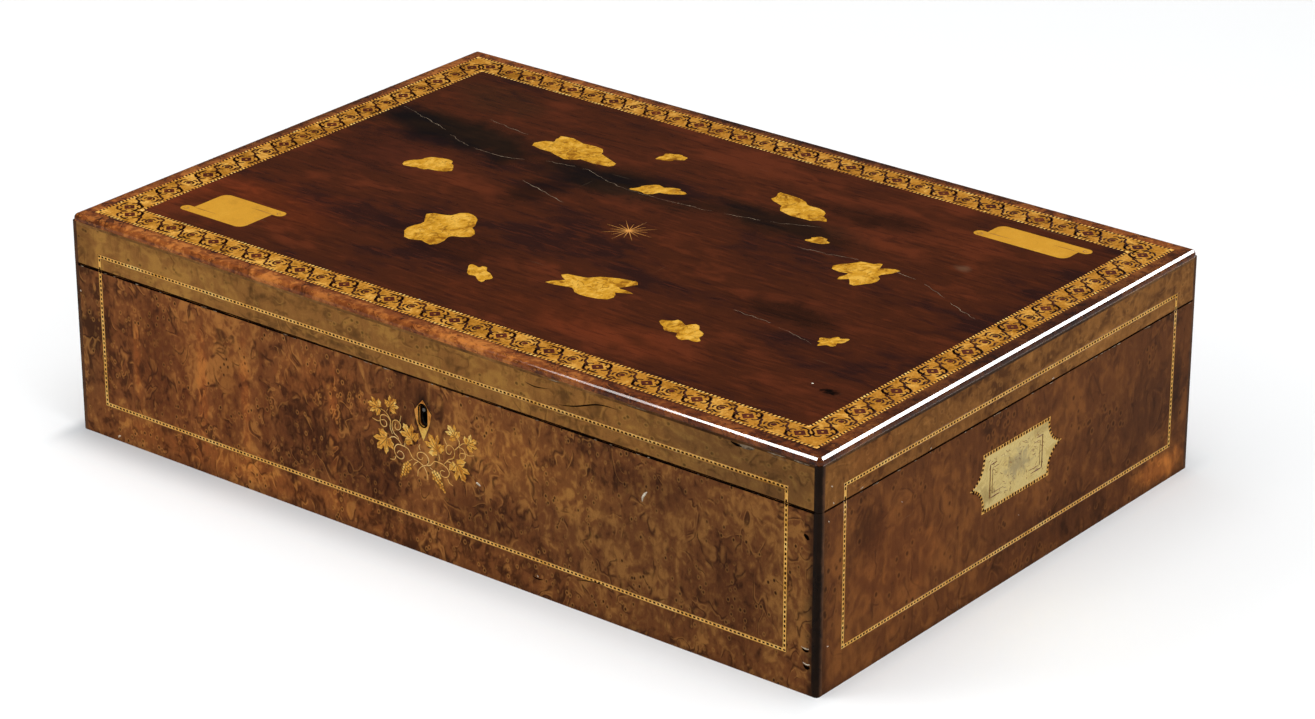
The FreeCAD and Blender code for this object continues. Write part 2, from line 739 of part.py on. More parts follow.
def lock_body(keyhole, cover_blanks, face_blanks):
    """Case, cover plate, faceplate and drill pin."""
    case = box("lock_case_block",
               ("-lock_width / 2", "pocket_front", "joint_height - lock_height"),
               ("lock_width / 2", "cover_front", "faceplate_base"))
    room = box("lock_case_room",
               ("-lock_width / 2 + lock_wall", "works_front", "joint_height - lock_height + lock_wall"),
               ("lock_width / 2 - lock_wall", "cover_front", "faceplate_base"))
    case = cut("lock_case_hollow", case, room)
    piece("lock_case", cut("lock_case", case, keyhole))
    cover = box("lock_cover_blank",
                ("-lock_plate_width / 2", "cover_front", "joint_height - lock_plate_height"),
                ("lock_plate_width / 2", "front_inside", "faceplate_base"))
    piece("lock_cover_plate", cut("lock_cover_plate", cover, cover_blanks))
    face = box("lock_face_blank", ("-lock_plate_width / 2", "plates_front", "faceplate_base"),
               ("lock_plate_width / 2", "front_inside", "joint_height"))
    slots = []
    for side, sign in HINGE_SIDES.items():
        slots.append(box(f"{side}_stud_slot",
                         (f"{sign} * stud_offset - stud_width / 2 - slot_play",
                          "stud_middle - stud_thick / 2 - slot_play", "faceplate_base"),
                         (f"{sign} * stud_offset + stud_width / 2 + slot_play",
                          "stud_middle + stud_thick / 2 + slot_play", "joint_height")))
    face = cut("lock_face_slotted", face, group("stud_slots", slots))
    piece("lock_faceplate", cut("lock_faceplate", face, face_blanks))
    tip = "-box_depth / 2 + drill_pin_sink"
    piece("lock_drill_pin", rod("lock_drill_pin", "drill_pin_radius",
                                ("0", tip, "keyhole_height + drill_pin_rise"),
                                f"cover_front - ({tip})", "y"))


def lock_bolt():
    """The sliding bolt: a bar with a notch for the key and two hooks above it."""
    back = "bolt_front + stud_thick"
    left_column = "-stud_offset + stud_width / 2 + bolt_play + bolt_travel"
    right_column = "stud_offset + stud_width / 2 + bolt_play + bolt_travel"
    bar = box("bolt_bar_block",
              ("-stud_offset - stud_width / 2 - bolt_travel", "bolt_front", "bar_top - bolt_bar"),
              (f"{right_column} + bolt_column", back, "bar_top"))
    blocks = [bar]
    for side, column in (("left", left_column), ("right", right_column)):
        blocks.append(box(f"{side}_hook_column", (column, "bolt_front", "bar_top"),
                          (f"{column} + bolt_column", back, "hook_top")))
        blocks.append(box(f"{side}_hook_head",
                          (f"{column} - bolt_travel", "bolt_front", "notch_base + bolt_play"),
                          (column, back, "hook_top")))
    talon = box("bolt_talon", ("-talon_width / 2", "bolt_front", "bar_top - bolt_bar"),
                ("talon_width / 2", back, "bar_top - bolt_bar + talon_depth"))
    piece("lock_bolt", cut("lock_bolt", fuse("bolt_blocks", blocks), talon))


def lock_spring():
    """A bow spring between the faceplate and the bolt's bar."""
    centre_z = "bar_top + bolt_play / 2 + spring_rise - spring_radius"
    start = ("spring_place", "bolt_front", centre_z)
    outer = rod("spring_outer", "spring_radius", start, "stud_thick", "y")
    inner = rod("spring_inner", "spring_radius - spring_thick", start, "stud_thick", "y")
    window = box("spring_window",
                 ("spring_place - spring_radius", "bolt_front", "bar_top + bolt_play / 2"),
                 ("spring_place + spring_radius", "bolt_front + stud_thick", "faceplate_base"))
    label = "lock_spring"
    piece(label, common(label, cut("spring_ring", outer, inner), window))


def link_plate(blanks):
    """The lid's plate with its two notched studs."""
    plate = box("link_plate_blank", ("-lock_plate_width / 2", "plates_front", "lid_base"),
                ("lock_plate_width / 2", "front_inside", "lid_base + faceplate_thick"))
    parts = [plate]
    notches = []
    front, back = "stud_middle - stud_thick / 2", "stud_middle + stud_thick / 2"
    for side, sign in HINGE_SIDES.items():
        middle = f"{sign} * stud_offset"
        parts.append(box(f"{side}_stud", (f"{middle} - stud_width / 2", front, "stud_end"),
                         (f"{middle} + stud_width / 2", back, "lid_base")))
        notches.append(box(f"{side}_stud_notch",
                           (f"{middle} + stud_width / 2 - notch_depth", front, "notch_base"),
                           (f"{middle} + stud_width / 2", back, "notch_base + notch_height")))
    whole = cut("link_plate_notched", fuse("link_plate_whole", parts), group("stud_notches", notches))
    piece("lock_link_plate", cut("lock_link_plate", whole, blanks))


# ---------------------------------------------------------------- hinges

def hinge_leaf(side, sign, level, blanks):
    """One leaf with its knuckles: three on the case, two on the lid."""
    start = f"{sign} * hinge_offset - hinge_length / 2"
    base, top, first = "joint_height - leaf_thick", "joint_height", 0
    if level == "upper":
        base, top, first = "lid_base", "lid_base + leaf_thick", 1
    name = f"{side}_{level}_leaf"
    parts = [box(name + "_plate", (start, "box_depth / 2 - leaf_width", base),
                 (f"{start} + hinge_length", "leaf_back", top))]
    for index in range(first, KNUCKLES, 2):
        left = f"{start} + {index} * knuckle_pitch + knuckle_gap / 2"
        length = "knuckle_pitch - knuckle_gap"
        parts.append(box(f"{name}_tongue_{index}", (left, "leaf_back", base),
                         (f"{left} + {length}", "pivot_y", top)))
        parts.append(rod(f"{name}_knuckle_{index}", "knuckle_radius",
                         (left, "pivot_y", "pivot_z"), length, "x"))
    bore = rod(name + "_bore", "pin_radius + pin_play", (start, "pivot_y", "pivot_z"), "hinge_length", "x")
    leaf = cut(name + "_bored", fuse(name + "_whole", parts), bore)
    label = f"{side}_hinge_{level}_leaf"
    piece(label, cut(label, leaf, blanks))


def hinge_screw_places(level):
    """Three screws in each of the two leaves on one side of the joint."""
    height = "joint_height" if level == "lower" else "lid_base"
    return [(f"{sign} * hinge_offset + {step} * hinge_screw_pitch", "box_depth / 2 - hinge_screw_inset",
             height) for sign in HINGE_SIDES.values() for step in LEAF_SCREWS]


def hinges(lower_blanks, upper_blanks):
    """Both butt hinges with their pins."""
    for side, sign in HINGE_SIDES.items():
        hinge_leaf(side, sign, "lower", lower_blanks)
        hinge_leaf(side, sign, "upper", upper_blanks)
        start = f"{sign} * hinge_offset - hinge_length / 2"
        label = f"{side}_hinge_pin"
        piece(label, rod(label, "pin_radius", (start, "pivot_y", "pivot_z"), "hinge_length", "x"))


# ---------------------------------------------------------------- the lid

def mitred_strip(name, half_run, offset, width, low, high, turn):
    """One strip of a mitred frame round the Z axis; offset is its outer edge's distance."""
    strip = DOC.addObject("Part::Wedge", name)
    strip.Placement = FreeCAD.Placement(FreeCAD.Vector(), FreeCAD.Rotation(FreeCAD.Vector(0, 0, 1), turn))
    # The wedge refuses ends that cross for a moment, so it starts out large enough.
    strip.Xmin, strip.Xmax = -value(half_run), value(half_run)
    bind(strip, "Xmin", f"-({half_run})")
    bind(strip, "Xmax", half_run)
    bind(strip, "X2min", f"-({half_run}) + {width}")
    bind(strip, "X2max", f"{half_run} - {width}")
    bind(strip, "Ymin", f"-({offset})")
    bind(strip, "Ymax", f"-({offset}) + {width}")
    for prop, text in (("Zmin", low), ("Z2min", low), ("Zmax", high), ("Z2max", high)):
        bind(strip, prop, text)
    return strip


FRAME_TURNS = {"front": 0, "right": 90, "back": 180, "left": 270}


def mitred_frame(name, half_x, half_y, width, low, high):
    """Four mitred strips round a rectangle."""
    strips = []
    for side, turn in FRAME_TURNS.items():
        run, offset = (half_x, half_y) if side in ("front", "back") else (half_y, half_x)
        strips.append(mitred_strip(f"{name}_{side}", run, offset, width, low, high, turn))
    return strips


def rounded_top():
    """The outside of the lid's top with its edges and corners rounded."""
    x, y = "box_length / 2 - moulding_setback", "box_depth / 2 - moulding_setback"
    corners = [(f"-({x})", f"-({y})"), (x, f"-({y})"), (x, y), (f"-({x})", y)]
    body = slab("rounded_top", "XY_Plane", corners, "moulding_height", ("0", "0", "lid_side_top"))
    DOC.recompute()
    pad = body.Tip
    top = value("moulding_height")
    names = []
    for number, edge in enumerate(pad.Shape.Edges, start=1):
        heights = [point.Point.z for point in edge.Vertexes]
        if max(heights) > top - 0.01:
            names.append(f"Edge{number}")
    rounding = body.newObject("PartDesign::Fillet", "rounded_top_fillet")
    rounding.Base = (pad, names)
    bind(rounding, "Radius", "moulding_round")
    return body


def lid_edge_moulding():
    """The rounded edge, in four mitred lengths."""
    top = rounded_top()
    strips = mitred_frame("moulding", "box_length / 2", "box_depth / 2", "wall",
                          "lid_side_top", "box_height")
    rounded = [common(strip.Name + "_rounded", strip, top) for strip in strips]
    piece("lid_edge_moulding", group("lid_edge_moulding", rounded))


def lid_carcase(plate_blanks, hinge_blanks):
    """Four rails and the top board."""
    seats = corner_seats("lid", "lid_base", "lid_side_top")
    rise = ("lid_base", "lid_side_top")
    across = "box_length / 2 - veneer_thick"
    front = box("front_rail_blank", (f"-({across})", "-box_depth / 2 + veneer_thick", rise[0]),
                (across, "front_inside", rise[1]))
    room = box("link_plate_room", ("-lock_plate_width / 2", "plates_front", "lid_base"),
               ("lock_plate_width / 2", "front_inside", "lid_base + faceplate_thick"))
    front = cut("front_rail_notched", front, seats)
    front = cut("front_rail_recessed", front, room)
    piece("lid_front_rail", cut("lid_front_rail", front, plate_blanks))
    back = box("back_rail_blank", (f"-({across})", "inside_y", rise[0]),
               (across, "box_depth / 2", rise[1]))
    recess = hinge_recess("lid_hinge", "lid_base", "lid_base + leaf_thick")
    back = cut("back_rail_notched", back, seats)
    back = cut("back_rail_recessed", back, group("lid_hinge_rooms", recess))
    piece("lid_back_rail", cut("lid_back_rail", back, hinge_blanks))
    for face in ("left", "right"):
        label = f"lid_{face}_rail"
        piece(label, face_box(label, face, ("-inside_y", "inside_y"), rise, ("veneer_thick", "wall")))
    piece("lid_panel", centred_box("lid_panel", "inside_x", "inside_y", "panel_base",
                                   "panel_base + panel_thick"))


def lid_side_veneers(lines):
    """Veneers on three sides of the lid, and the black line above them."""
    top = "lid_side_top - edge_line_height"
    black = []
    for face in ("front", "left", "right"):
        run = face_run(face, "corner_size")
        depth = ("0", "veneer_thick")
        sheet = face_box(f"lid_{face}_veneer_sheet", face, run, ("lid_base", top), depth)
        piece(f"lid_{face}_veneer", cut(f"lid_{face}_veneer", sheet, lines[face]))
        black.append(face_box(f"lid_{face}_edge_line", face, run, (top, "lid_side_top"), depth))
    piece("lid_edge_line", group("lid_edge_line", black))


def scroll(label, length, height, across, along):
    """A sheet with two rolled ends, inlaid in the top."""
    end, top = f"{length} / 2", f"{height} / 2"
    tip = f"{end} + scroll_curl"
    roll = "scroll_roll / 2"
    half = [
        (f"{tip} - {roll}", top, roll, -1),
        (tip, f"{top} - {roll}", roll, -1),
        (f"{tip} - {roll}", f"{top} - scroll_roll"),
        (end, f"{top} - scroll_roll"),
        (end, f"-({top}) + scroll_round", "scroll_round", -1),
        (f"{end} - scroll_round", f"-({top})"),
    ]
    turned = [(f"-({corner[0]})", f"-({corner[1]})") + tuple(corner[2:]) for corner in half]
    # These run clockwise seen from above, so the pad still grows upwards.
    return slab(label, "XY_Plane", half + turned, "veneer_thick + inlay_proud",
                (across, along, "box_height - veneer_thick"))


def island_points(share_x, share_y, half_x, half_y, turn, seed):
    """An invented coast: an oval with a few bays and capes."""
    middle = FreeCAD.Vector(share_x * value("field_x"), share_y * value("field_y"),
                            value("box_height - veneer_thick"))
    bend = math.radians(turn)
    dice = random.Random(seed)
    waves = [(count, dice.uniform(0.05, 0.17), dice.uniform(0, 2 * math.pi)) for count in (2, 3, 5, 7)]
    points = []
    for step in range(ISLAND_POINTS):
        angle = 2 * math.pi * step / ISLAND_POINTS
        reach = 1 + sum(size * math.cos(count * angle + phase) for count, size, phase in waves)
        reach += dice.uniform(-0.05, 0.05)
        across, along = half_x * reach * math.cos(angle), half_y * reach * math.sin(angle)
        points.append(middle + FreeCAD.Vector(across * math.cos(bend) - along * math.sin(bend),
                                              across * math.sin(bend) + along * math.cos(bend), 0))
    return points


def star_plates(normal):
    """Thin rays, long and short in turn, set round a small core."""
    base = value("box_height - veneer_thick")
    core, tips = [], []
    for step in range(STAR_RAYS):
        way = 2 * math.pi * step / STAR_RAYS
        edge = way + math.pi / STAR_RAYS
        reach = value("star_short" if step % 2 else "star_radius")
        tips.append(FreeCAD.Vector(reach * math.cos(way), reach * math.sin(way), base))
        root = value("star_core")
        core.append(FreeCAD.Vector(root * math.cos(edge), root * math.sin(edge), base))
    rays = [[core[step - 1], tips[step], core[step]] for step in range(STAR_RAYS)]
    return [flat_plate(points, normal) for points in [core] + rays]


def lid_top():
    """The border and field of the top with their inlays."""
    low, high = "box_height - veneer_thick", "box_height"
    line = "border_line_width"
    outer = mitred_frame("outer_dots", "inside_x", "inside_y", line, low, high)
    inner = mitred_frame("inner_dots", f"field_x + {line}", f"field_y + {line}", line, low, high)
    piece("lid_border_stringings", group("lid_border_stringings", outer + inner))
    bands = mitred_frame("band", f"inside_x - {line}", f"inside_y - {line}",
                         f"(border_width - 2 * {line})", low, high)
    piece("lid_border_bands", group("lid_border_bands", bands))
    tall = scroll("front_left_scroll", "tall_scroll_length", "tall_scroll_height",
                  "-field_x + tall_scroll_side", "-field_y + tall_scroll_front")
    wide = scroll("back_right_scroll", "wide_scroll_length", "wide_scroll_height",
                  "field_x - wide_scroll_side", "field_y - wide_scroll_back")
    scrolls = piece("scroll_inlays", group("scroll_inlays", [tall, wide]))
    upwards = FreeCAD.Vector(0, 0, 1)
    patches = Part.makeCompound([flat_plate(island_points(*row), upwards) for row in ISLANDS])
    islands = piece("island_inlays", fixed_shape("island_inlays", patches))
    star = piece("compass_star", fixed_shape("compass_star", Part.makeCompound(star_plates(upwards))))
    field = centred_box("field_sheet", "field_x", "field_y", low, high)
    tool = group("field_inlays", [scrolls, islands, star])
    piece("lid_top_veneer", cut("lid_top_veneer", field, tool))


# ---------------------------------------------------------------- putting it together

def build():
    """Make every piece of the box."""
    lower_screws, lower_blanks = screw_row("hinge_lower_screws", hinge_screw_places("lower"), "down",
                                           "hinge_screw")
    upper_screws, upper_blanks = screw_row("hinge_upper_screws", hinge_screw_places("upper"), "up",
                                           "hinge_screw")
    bottom_screws, bottom_blanks = screw_row("bottom_screws", bottom_screw_places(), "up", "bottom_screw")
    reach = "(lock_width / 2 + lock_flange / 2)"
    plate_middle = "(plates_front + front_inside) / 2"
    face_places = [(f"{sign} * {reach}", plate_middle, "joint_height") for sign in (-1, 1)]
    link_places = [(f"{sign} * {reach}", plate_middle, "lid_base") for sign in (-1, 1)]
    cover_places = [(f"{sign} * {reach}", "front_inside", f"joint_height - {drop}")
                    for sign in (-1, 1) for drop in ("cover_screw_high", "cover_screw_low")]
    face_screws, face_blanks = screw_row("faceplate_screws", face_places, "down", "plate_screw")
    cover_screws, cover_blanks = screw_row("cover_screws", cover_places, "forward", "plate_screw")
    link_screws, link_blanks = screw_row("link_plate_screws", link_places, "up", "plate_screw")
    piece("hinge_lower_screws", lower_screws)
    piece("hinge_upper_screws", upper_screws)
    piece("bottom_screws", bottom_screws)
    piece("lock_screws", group("lock_screws", [face_screws, cover_screws]))
    piece("link_plate_screws", link_screws)

    keyhole = keyhole_tool()
    lock_room = fuse("lock_room", lock_pocket() + [keyhole])
    lock_blanks = group("lock_blanks", [face_blanks, cover_blanks])
    case_boards(lock_room, lower_blanks, lock_blanks, bottom_blanks)
    lock_body(keyhole, cover_blanks, face_blanks)
    lock_bolt()
    lock_spring()
    link_plate(link_blanks)
    hinges(lower_blanks, upper_blanks)
    corner_edgings("case_corner_edgings", "0", "joint_height")
    corner_edgings("lid_corner_edgings", "lid_base", "lid_side_top")

    kite = escutcheon_blank()
    piece("escutcheon", cut("escutcheon", kite, keyhole))
    leaves = vine("vine_leaves", [leaf_points(*row) for row in LEAVES])
    grapes = vine("vine_grapes", [bunch_points(*row) for row in BUNCHES])
    plaques = {face: side_plaque(face) for face in ("left", "right")}
    piece("plaque_borders", group("plaque_borders", [border for _, border in plaques.values()]))
    seats = {face: seat for face, (seat, _) in plaques.items()}
    case_lines = {face: case_stringing(face) for face in ("front", "left", "right")}
    case_veneers([kite, leaves, grapes], seats, case_lines)
    linings()

    lid_lines = {face: lid_stringing(face) for face in ("front", "left", "right")}
    lid_carcase(link_blanks, upper_blanks)
    lid_side_veneers(lid_lines)
    lid_edge_moulding()
    lid_top()


def write_pieces():
    """Check every object, then write each sub-part to its own file."""
    for item in DOC.Objects:
        if "Invalid" in item.State or "Error" in item.State:
            raise RuntimeError(f"{item.Label} failed: {item.State}")
    for item in PIECES:
        if item.Shape.isNull() or not item.Shape.isValid() or not item.Shape.Solids:
            raise RuntimeError(f"{item.Label} has no valid solid")
    os.makedirs("parts", exist_ok=True)
    for item in PIECES:
        item.Shape.exportStep(os.path.join("parts", item.Label + ".step"))
        print(f"{item.Label}: {len(item.Shape.Solids)} solids, {item.Shape.Volume:.1f} mm3")
    print(f"{len(PIECES)} sub-parts")


fill_sheet()
build()
DOC.recompute()
write_pieces()
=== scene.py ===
"""Finish of a veneered ditty box: woods, inlaid lines, border, vine spray, brass and cloth."""

import logging
import math
import random
from dataclasses import dataclass
from enum import Enum
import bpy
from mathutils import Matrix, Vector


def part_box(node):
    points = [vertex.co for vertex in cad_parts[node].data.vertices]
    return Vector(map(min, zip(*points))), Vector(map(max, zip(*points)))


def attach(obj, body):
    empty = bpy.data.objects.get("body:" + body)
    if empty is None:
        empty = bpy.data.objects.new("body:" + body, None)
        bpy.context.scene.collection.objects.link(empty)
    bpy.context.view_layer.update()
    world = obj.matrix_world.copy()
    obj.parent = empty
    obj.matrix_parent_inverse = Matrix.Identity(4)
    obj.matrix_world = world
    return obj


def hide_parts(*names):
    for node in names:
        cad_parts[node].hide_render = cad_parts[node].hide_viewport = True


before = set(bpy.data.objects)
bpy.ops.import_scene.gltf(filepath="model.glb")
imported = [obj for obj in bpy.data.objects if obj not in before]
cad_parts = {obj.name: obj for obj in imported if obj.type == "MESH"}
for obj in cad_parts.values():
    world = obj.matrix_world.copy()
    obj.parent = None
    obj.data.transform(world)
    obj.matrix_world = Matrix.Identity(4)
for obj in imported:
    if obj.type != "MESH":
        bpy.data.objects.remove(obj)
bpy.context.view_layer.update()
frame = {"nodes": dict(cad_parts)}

from types import SimpleNamespace
from typing import Any, Iterable, Sequence

import bmesh
import bpy
from mathutils import Matrix, Vector, noise

log = logging.getLogger("ditty_box")
logging.basicConfig(level=logging.INFO, format="%(name)s: %(message)s")

Piece, Material = bpy.types.Object, bpy.types.Material
Tree, Socket = bpy.types.NodeTree, bpy.types.NodeSocket
Point2, Point3 = tuple[float, float], tuple[float, float, float]
Colour = tuple[float, float, float, float]

MM = 0.001
PROUD, LET_IN = 0.045, 0.2  # how far an inlaid line stands above its face, and how thick it is
FLAT = (0.0, 0.0, 0.0)
WHITE, BLACK = (1.0, 1.0, 1.0, 1.0), (0.0, 0.0, 0.0, 1.0)
COLOUR, NUMBER, VECTOR = "NodeSocketColor", "NodeSocketFloat", "NodeSocketVector"
SHAPE, FINISH = "NodeSocketGeometry", "NodeSocketMaterial"
HELPER, WHOLE = "NodeSocketObject", "NodeSocketInt"


class Body(Enum):
    """The parts that move as one."""

    CASE = "case"
    LID = "lid"


class Slot(Enum):
    """Material slots of the record, passed along with laid pieces."""

    BURR = "burr_veneer"
    FIELD = "field_veneer"
    MOULDING = "moulding"
    EBONISED = "ebonised"
    LIGHT = "light_inlay"
    GOLD = "gold_inlay"
    TAN = "tan_inlay"
    PLATE = "plate_brass"
    LINING = "lining"


@dataclass(frozen=True)
class BoxSizes:
    """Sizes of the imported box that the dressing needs, in millimetres."""

    half_length: float = 300.0
    half_depth: float = 200.0
    height: float = 152.0
    rim: float = 118.0
    lid_base: float = 118.3
    stringing_inset: float = 22.5
    stringing_width: float = 3.0
    stringing_top: float = 129.5
    keyhole: float = 94.0
    plaque: float = 75.0
    border_outer: Point2 = (289.0, 189.0)
    border_inner: Point2 = (267.0, 167.0)


SIZES = BoxSizes()


class Side(Enum):
    """A face of the box: the turns about x and z, in degrees, that stand a drawing on it, its half
    width and the origin of its drawings, in millimetres."""

    FRONT = (90, 0, SIZES.half_length, (0.0, -SIZES.half_depth, 0.0))
    LEFT = (90, -90, SIZES.half_depth, (-SIZES.half_length, 0.0, 0.0))
    RIGHT = (90, 90, SIZES.half_depth, (SIZES.half_length, 0.0, 0.0))
    TOP = (0, 0, SIZES.half_length, (0.0, 0.0, SIZES.height))

    @property
    def turn(self) -> Point3:
        """The turn of its drawings, in radians."""
        return (math.radians(self.value[0]), 0.0, math.radians(self.value[1]))

    @property
    def half(self) -> float:
        """Half its width, in millimetres."""
        return self.value[2]

    @property
    def place(self) -> Point3:
        """Where the origin of its drawings lies, in millimetres."""
        return self.value[3]


def tint(code: str) -> Colour:
    """The colour in linear light of a swatch code of six hexadecimal digits."""
    parts = [int(code[i:i + 2], 16) / 255 for i in (0, 2, 4)]
    return (*(p / 12.92 if p <= 0.04045 else ((p + 0.055) / 1.055) ** 2.4 for p in parts), 1.0)


# ---------------------------------------------------------------- node trees


class Term:
    """A value in a node tree, with which arithmetic is written as usual."""

    def __init__(self, bench: "NodeBench", socket: Socket) -> None:
        """Takes the bench of the tree and the socket."""
        self.bench, self.socket = bench, socket

    def __add__(self, other: Any) -> "Term":
        """The sum."""
        return self.bench.math("ADD", self, other)

    def __sub__(self, other: Any) -> "Term":
        """The difference."""
        return self.bench.math("SUBTRACT", self, other)

    def __rsub__(self, other: float) -> "Term":
        """The difference from a plain number."""
        return self.bench.math("SUBTRACT", other, self)

    def __mul__(self, other: Any) -> "Term":
        """The product."""
        return self.bench.math("MULTIPLY", self, other)

    def __abs__(self) -> "Term":
        """The value without its sign."""
        return self.bench.math("ABSOLUTE", self)

    def least(self, other: Any) -> "Term":
        """The smaller of two."""
        return self.bench.math("MINIMUM", self, other)

    def most(self, other: Any) -> "Term":
        """The larger of two."""
        return self.bench.math("MAXIMUM", self, other)

    def ramp(self, low: Any, high: Any, start: float = 0.0, end: float = 1.0) -> "Term":
        """The value eased from low to high into start to end."""
        values = {"Value": self, "From Min": low, "From Max": high, "To Min": start, "To Max": end}
        return self.bench.out("ShaderNodeMapRange", values, interpolation_type="SMOOTHSTEP")

    def fall(self, near: Any, far: Any) -> "Term":
        """One up to near, easing to nothing at far."""
        return self.ramp(near, far, 1.0, 0.0)


class NodeBench:
    """Lays out the nodes of one tree."""

    def __init__(self, tree: Tree) -> None:
        """Takes the tree to work on."""
        self.tree = tree

    @classmethod
    def group(cls, name: str, kind: str, inputs: dict[str, str],
            outputs: dict[str, str]) -> "NodeBench":
        """Starts a node group.

        Args:
            name: name of the group.
            kind: what it works on, Shader or Geometry.
            inputs: socket type to the names of its inputs, which given then holds in small letters.
            outputs: the same for its outputs.

        Returns:
            The bench of the new group.
        """
        bench = cls(bpy.data.node_groups.new(name, kind + "NodeTree"))
        for way, sockets in (("INPUT", inputs), ("OUTPUT", outputs)):
            for socket_type, names in sockets.items():
                for label in names.split():
                    bench.tree.interface.new_socket(name=label, in_out=way, socket_type=socket_type)
        sockets = bench.tree.nodes.new("NodeGroupInput").outputs
        bench.given = SimpleNamespace(**{s.name.lower(): Term(bench, s) for s in sockets if s.name})
        bench.wanted = bench.tree.nodes.new("NodeGroupOutput").inputs
        return bench

    def put(self, kind: str, values: dict | None = None, **settings: Any) -> bpy.types.Node:
        """Adds a node.

        Args:
            kind: type of the node; one without the word Node is a node of the tree's own kind.
            values: input name or number to a plain value or a term to link.
            settings: properties of the node.

        Returns:
            The node.
        """
        node = self.tree.nodes.new(kind if "Node" in kind else self.tree.bl_idname[:-4] + kind)
        for name, value in settings.items():
            setattr(node, name, value)
        for key, value in (values or {}).items():
            if isinstance(value, Term):
                self.tree.links.new(value.socket, node.inputs[key])
            else:
                node.inputs[key].default_value = value
        return node

    def out(self, kind: str, values: dict | None = None, key: int | str = 0,
            **settings: Any) -> Term:
        """Adds a node and gives one of its outputs."""
        return Term(self, self.put(kind, values, **settings).outputs[key])

    def outs(self, kind: str, values: dict | None = None, **settings: Any) -> list[Term]:
        """Adds a node and gives all its outputs."""
        return [Term(self, socket) for socket in self.put(kind, values, **settings).outputs]

    def give(self, label: str, term: Term) -> None:
        """Links a term to an output of the group."""
        self.tree.links.new(term.socket, self.wanted[label])

    def math(self, operation: str, *values: Any) -> Term:
        """One step of arithmetic."""
        return self.out("ShaderNodeMath", dict(enumerate(values)), operation=operation)

    def vector(self, operation: str, *values: Any, key: int = 0) -> Term:
        """One step of vector arithmetic; its vector, or with key 1 its value."""
        return self.out("ShaderNodeVectorMath", dict(enumerate(values)), key, operation=operation)

    def noise(self, place: Term, scale: Any, detail: float = 3.0, rough: float = 0.5,
            distort: Any = 0.0) -> Term:
        """Cloudy noise.

        Args:
            place: vector that it reads.
            scale: features per metre.
            detail: octaves.
            rough: weight of the finer octaves.
            distort: how far it swirls.

        Returns:
            Its value, about 0 to 1.
        """
        values = {"Vector": place, "Scale": scale, "Detail": detail, "Roughness": rough,
            "Distortion": distort}
        return self.out("TexNoise", values)

    def blend(self, share: Any, first: Any, second: Any, kind: str = "MIX") -> Term:
        """The mix of two colours, or with kind MULTIPLY their product."""
        return self.out("Mix", {0: share, 6: first, 7: second}, 2, data_type="RGBA",
            blend_type=kind)

    def bump(self, height: Term, strength: float, distance: float = 0.0004) -> Term:
        """The normals of a surface with that relief, in metres."""
        return self.out("Bump", {"Height": height, "Strength": strength, "Distance": distance})


